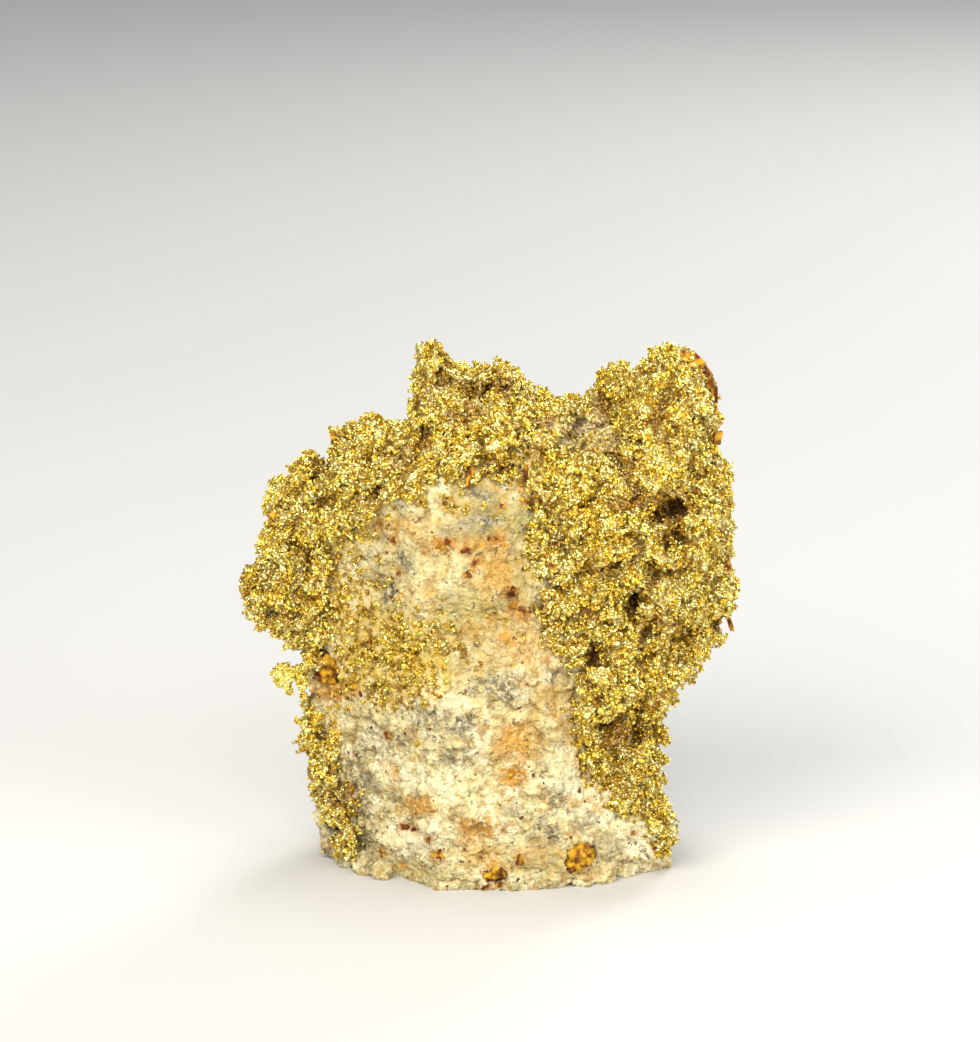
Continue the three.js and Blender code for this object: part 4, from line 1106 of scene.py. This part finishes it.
class SPECIMEN_OT_gold(bpy.types.Operator):
    """Builds the spongy body of the gold mass and of the string down the left edge."""

    bl_idname = "specimen.gold"
    bl_label = "Spongy gold"

    def execute(self, context):
        look = context.scene.specimen.gold
        quartz = tree_of(bpy.data.objects["vein_quartz"])
        for node, name in (("gold_mass", "gold_sponge"), ("gold_left_rim", "gold_rim")):
            piece = cad_copy(node, name)
            sponge(piece, look, context.scene.specimen.stage.seed, quartz)
            press_hollows(piece, quartz)
            finish_piece(piece, "gold", node)
        return {"FINISHED"}


class SPECIMEN_OT_crystals(bpy.types.Operator):
    """Covers the gold with its small crystals."""

    bl_idname = "specimen.crystals"
    bl_label = "Gold crystals"

    def execute(self, context):
        look = context.scene.specimen.gold
        seed = context.scene.specimen.stage.seed
        values = {
            "Tufts": look.tufts / MM**2,
            "Smallest": look.crystal_smallest,
            "Largest": look.crystal_largest,
            "Width": look.tuft_width,
            "Height": look.tuft_height,
        }
        body, rim = (bpy.data.objects[name] for name in ("gold_sponge", "gold_rim"))
        x, _, z = points_of(body.data).T
        allowed = read_attribute(body.data, "open")
        for number, (name, left, right, low, high) in enumerate(CRYSTAL_PARTS):
            here = (x >= left) & (x < right) & (z >= low) & (z < high)
            write_attribute(body.data, "share", allowed * here)
            piece = strew(name, body, "share", values, gold_material(), seed + number, STREWN_TUFTS)
            finish_piece(piece, "gold")
        body.data.attributes.remove(body.data.attributes["share"])
        number = seed + RIM_SEED
        piece = strew("gold_crystals_rim", rim, "open", values, gold_material(), number, STREWN_TUFTS)
        finish_piece(piece, "gold")
        for ground in (body, rim):
            write_attribute(ground.data, "skin", 1.0)
        return {"FINISHED"}


def branch_mesh(random):
    """Balls along the strings of the lacy branch, as one mesh."""
    mesh = bpy.data.meshes.new("strings")
    shell = bmesh.new()
    for string in SPRIG_STRINGS:
        for start, end in zip(string, string[1:]):
            start, end = Vector(start), Vector(end)
            steps = max(1, round((end - start).length / BRANCH_SPACING))
            for step in range(steps + 1):
                stray = Vector(random.uniform(-BRANCH_STRAY, BRANCH_STRAY, 3))
                place = start.lerp(end, step / steps) + stray
                radius = BRANCH_RADIUS * random.uniform(0.75, 1.25) * MM
                ball = bmesh.ops.create_icosphere(shell, subdivisions=2, radius=radius)
                bmesh.ops.translate(shell, verts=ball["verts"], vec=place * MM)
    shell.to_mesh(mesh)
    shell.free()
    return mesh


class SPECIMEN_OT_sprig(bpy.types.Operator):
    """Builds the lacy branch on the left edge."""

    bl_idname = "specimen.sprig"
    bl_label = "Gold branch"

    def execute(self, context):
        look = context.scene.specimen.gold
        random = np.random.default_rng(context.scene.specimen.stage.seed)
        piece = mesh_piece("gold_branch", branch_mesh(random))
        piece.data.materials.append(gold_material())
        skin_over(piece, BRANCH_SKIN * MM)
        settle(piece)
        write_attribute(piece.data, "open", 1.0)
        write_attribute(piece.data, "hollow", 0.4)
        sizes = {"Smallest": look.crystal_smallest * 0.8, "Largest": look.crystal_largest * 0.8}
        values = {**BRANCH_CRYSTALS, **sizes}
        crystals = strew("gold_crystals_branch", piece, "open", values, gold_material(), BRANCH_SEED)
        finish_piece(crystals, "gold")
        finish_piece(piece, "gold", "gold_sprig")
        return {"FINISHED"}


class SPECIMEN_OT_crust(bpy.types.Operator):
    """Strews gold over the quartz face, thick in the crust and thin round its edges, and sugary grains over
    the quartz."""

    bl_idname = "specimen.crust"
    bl_label = "Crust and grains"

    def execute(self, context):
        look = context.scene.specimen.quartz
        quartz = bpy.data.objects["vein_quartz"]
        mesh = quartz.data
        points = points_of(mesh)
        facing = facing_front(normals_of(mesh))
        x, v = picture_place(points)
        waver = read_attribute(mesh, "waver", 3)
        far, inside = distance_to(tree_of(bpy.data.objects["gold_sponge"]), points, 1.6)
        bare = np.where(inside, 0.0, np.clip(far / 0.3, 0, 1))
        near = np.where(inside, 0.0, np.clip(1.1 - far / 1.2, 0, 1))
        clumps = np.clip(0.75 + 2.6 * waver[:, 1], 0, 1)
        dust = np.maximum(blobs(x, v, FACE_GOLD, waver, 3.0) * facing * clumps, 0.35 * near * clumps)
        write_attribute(mesh, "gilt", dust)
        write_attribute(mesh, "film", blobs(x, v, FACE_FILM, waver, 4.0) * facing)
        write_attribute(mesh, "grain", bare * np.clip(points[:, 2] / 0.6 - 0.5, 0, 1) * (1 - 0.5 * dust))
        crust = strew("gold_dust", quartz, "gilt", GOLD_DUST, gold_material(), DUST_SEED, STREWN_TUFTS)
        finish_piece(crust, "gold", "gold_face_crust")
        sizes = {"Smallest": look.grain_smallest, "Largest": look.grain_largest}
        values = {"Crystals": look.grains / MM**2, **sizes, **QUARTZ_GRAINS}
        grains = strew("quartz_grains", quartz, "grain", values, quartz_material(), GRAINS_SEED)
        finish_piece(grains, "quartz")
        return {"FINISHED"}


def chips_on_face(grounds):
    """Places the chips that lie on the front: where the line of sight through each meets the specimen."""
    view = Vector((0, TILT_COS, -TILT_SIN))
    for x, v, length, width, turn, dark in RUST_CHIPS:
        start = Vector((x, FRONT_Y, v / TILT_COS)) * MM - view * 60 * MM
        hits = [hit for hit in (ground.ray_cast(start, view) for ground in grounds) if hit[0] is not None]
        if not hits:
            raise RuntimeError(f"nothing lies behind the chip at {x}, {v}")
        hit, normal, _, _ = min(hits, key=lambda found: found[3])
        across = Vector((0, 0, 1)).cross(normal).normalized()
        angle = math.radians(turn)
        along = across * math.cos(angle) + normal.cross(across) * math.sin(angle)
        place = hit / MM - normal * 0.1
        yield place, along, normal.cross(along), length, width, CHIP_THICKNESS * width, 0.1 + 0.6 * dark


def chips_on_edge():
    """Places the rind chips on the edge of the gold."""
    for x, y, z, length, width, turn in RIND_CHIPS:
        angle = math.radians(turn)
        along = Vector((math.cos(angle), 0, math.sin(angle)))
        yield Vector((x, y, z)), along, Vector((0, 1, 0)), length, RIND_WIDTH * width, width, 0.2


def chip_mesh(chips, random):
    """Angular chips, each a block with its corners knocked about, as one mesh with a dark share."""
    mesh = bpy.data.meshes.new("chips")
    shell = bmesh.new()
    layer = shell.verts.layers.float.new("dark")
    for place, across, up, length, width, thick, dark in chips:
        block = bmesh.ops.create_cube(shell, size=CHIP_BLOCK)
        side = across.cross(up)
        for vertex in block["verts"]:
            a, b, c = vertex.co + Vector(random.uniform(-CHIP_KNOCK, CHIP_KNOCK, 3))
            vertex.co = (place + across * a * length + up * b * width + side * c * thick) * MM
            vertex[layer] = dark
    shell.to_mesh(mesh)
    shell.free()
    return mesh


class SPECIMEN_OT_limonite(bpy.types.Operator):
    """Sets the iron oxide: the filled pockets, the chips on the front, the gold's rind and the specks."""

    bl_idname = "specimen.limonite"
    bl_label = "Iron oxide"

    def execute(self, context):
        scene = context.scene.specimen
        random = np.random.default_rng(scene.stage.seed)
        pieces = {node: cad_copy(node, node + "_earthy") for node in LIMONITE_POCKETS}
        for node, piece in pieces.items():
            swollen = points_of(piece.data) + normals_of(piece.data) * POCKET_SWELL
            set_points(piece.data, swollen)
            skin_over(piece, POCKET_SKIN * MM)
            give_relief(piece, "Broken limonite", LIMONITE_RELIEF, limonite_material())
            finish_piece(piece, "limonite", node)
        quartz = bpy.data.objects["vein_quartz"]
        grounds = [tree_of(ground) for ground in (quartz, bpy.data.objects["gold_sponge"])]
        chips = [*chips_on_face(grounds), *chips_on_edge()]
        piece = mesh_piece("limonite_chips", chip_mesh(chips, random))
        piece.data.materials.append(limonite_material())
        finish_piece(piece, "limonite")
        waver = read_attribute(quartz.data, "waver", 3)
        grain = read_attribute(quartz.data, "grain")
        write_attribute(quartz.data, "speck", grain * np.clip(0.4 + 3 * waver[:, 0], 0, 1))
        values = {"Crystals": scene.limonite.specks / MM**2, **LIMONITE_SPECKS}
        piece = strew("limonite_specks", quartz, "speck", values, limonite_material(), SPECKS_SEED)
        tone = read_attribute(piece.data, "tone")
        write_attribute(piece.data, "dark", np.where(tone > 0.5, 0.9, 0.15))
        finish_piece(piece, "limonite")
        return {"FINISHED"}


def aim(thing, place, way):
    """Links a light or a camera to the scene at a place, looking along a way."""
    made = bpy.data.objects.new(thing.name, thing)
    bpy.context.scene.collection.objects.link(made)
    made.location = place
    made.rotation_mode = "QUATERNION"
    made.rotation_quaternion = way.to_track_quat("-Z", "Y")
    return made


class SPECIMEN_OT_stage(bpy.types.Operator):
    """Sets the floor, the soft lights and the camera."""

    bl_idname = "specimen.stage"
    bl_label = "Stage"

    def execute(self, context):
        look = context.scene.specimen.stage
        mesh = bpy.data.meshes.new("floor")
        turns = np.linspace(0, math.tau, FLOOR_CORNERS, endpoint=False)
        ring = [(FLOOR_RADIUS * math.cos(a), FLOOR_RADIUS * math.sin(a), 0) for a in turns]
        mesh.from_pydata(ring, [], [list(range(FLOOR_CORNERS))])
        floor = mesh_piece("floor", mesh)
        material, tree, shader, place = start_material("matt_floor")
        cloud = add_node(tree, NOISE, {"Vector": place, "Scale": per_mm(120), "Detail": 2.0})
        shade = add_node(tree, MAP_RANGE, {"Value": cloud, "To Min": 0.0, "To Max": 0.06})
        ends = {0: shade, 6: (*look.floor, 1.0), 7: (*look.floor_shade, 1.0)}
        colour = add_node(tree, MIX, ends, 2, data_type="RGBA")
        tree.links.new(colour, shader.inputs["Base Color"])
        shader.inputs["Roughness"].default_value = 0.8
        mesh.materials.append(material)

        world = bpy.data.worlds.new("studio_air")
        context.scene.world = world
        world.use_nodes = True
        world.node_tree.nodes["Background"].inputs["Color"].default_value = (*look.air, 1.0)
        world.node_tree.nodes["Background"].inputs["Strength"].default_value = 1.0

        context.scene.view_settings.view_transform = "Standard"
        for name, place, size, power, tint in LIGHTS:
            lamp = bpy.data.lights.new(name, "AREA")
            lamp.shape = "DISK"
            lamp.size = size
            lamp.energy = power
            lamp.color = linear(tint)
            aim(lamp, place, Vector(LIGHTS_AIM) - Vector(place))

        distance = MM_PER_PIXEL * MM * max(IMAGE_SIZE) * look.lens / look.sensor
        target_z = (PICTURE_CENTRE_V - (TARGET_Y - FRONT_Y) * TILT_SIN) / TILT_COS
        sight = Vector((0, math.cos(look.tilt), -math.sin(look.tilt)))
        lens = bpy.data.cameras.new("camera")
        lens.lens = look.lens
        lens.sensor_width = look.sensor
        lens.clip_start, lens.clip_end = 0.01, 20
        context.scene.camera = aim(lens, Vector((0, TARGET_Y, target_z)) * MM - sight * distance, sight)
        return {"FINISHED"}


PIECE_OPERATORS = [
    SPECIMEN_OT_quartz,
    SPECIMEN_OT_gold,
    SPECIMEN_OT_crystals,
    SPECIMEN_OT_sprig,
    SPECIMEN_OT_crust,
    SPECIMEN_OT_limonite,
    SPECIMEN_OT_stage,
]


class SPECIMEN_PT_panel(bpy.types.Panel):
    """Sizes, colours and the steps that build the specimen."""

    bl_idname = "SPECIMEN_PT_panel"
    bl_label = "Specimen"
    bl_space_type = "VIEW_3D"
    bl_region_type = "UI"
    bl_category = "Specimen"

    def draw(self, context):
        for part in ("gold", "quartz", "limonite", "stage"):
            group = getattr(context.scene.specimen, part)
            box = self.layout.box()
            for name in group.__annotations__:
                box.prop(group, name)
        for operator in PIECE_OPERATORS:
            self.layout.operator(operator.bl_idname)


CLASSES = [
    SPECIMEN_PG_gold,
    SPECIMEN_PG_quartz,
    SPECIMEN_PG_limonite,
    SPECIMEN_PG_stage,
    SPECIMEN_PG_all,
    *PIECE_OPERATORS,
    SPECIMEN_PT_panel,
]


def register():
    for kind in CLASSES:
        bpy.utils.register_class(kind)
    bpy.types.Scene.specimen = PointerProperty(type=SPECIMEN_PG_all)


def unregister():
    del bpy.types.Scene.specimen
    for kind in reversed(CLASSES):
        bpy.utils.unregister_class(kind)


def main():
    register()
    bpy.ops.specimen.quartz()
    bpy.ops.specimen.gold()
    bpy.ops.specimen.crystals()
    bpy.ops.specimen.sprig()
    bpy.ops.specimen.crust()
    bpy.ops.specimen.limonite()
    bpy.ops.specimen.stage()


if __name__ == "__main__":
    main()
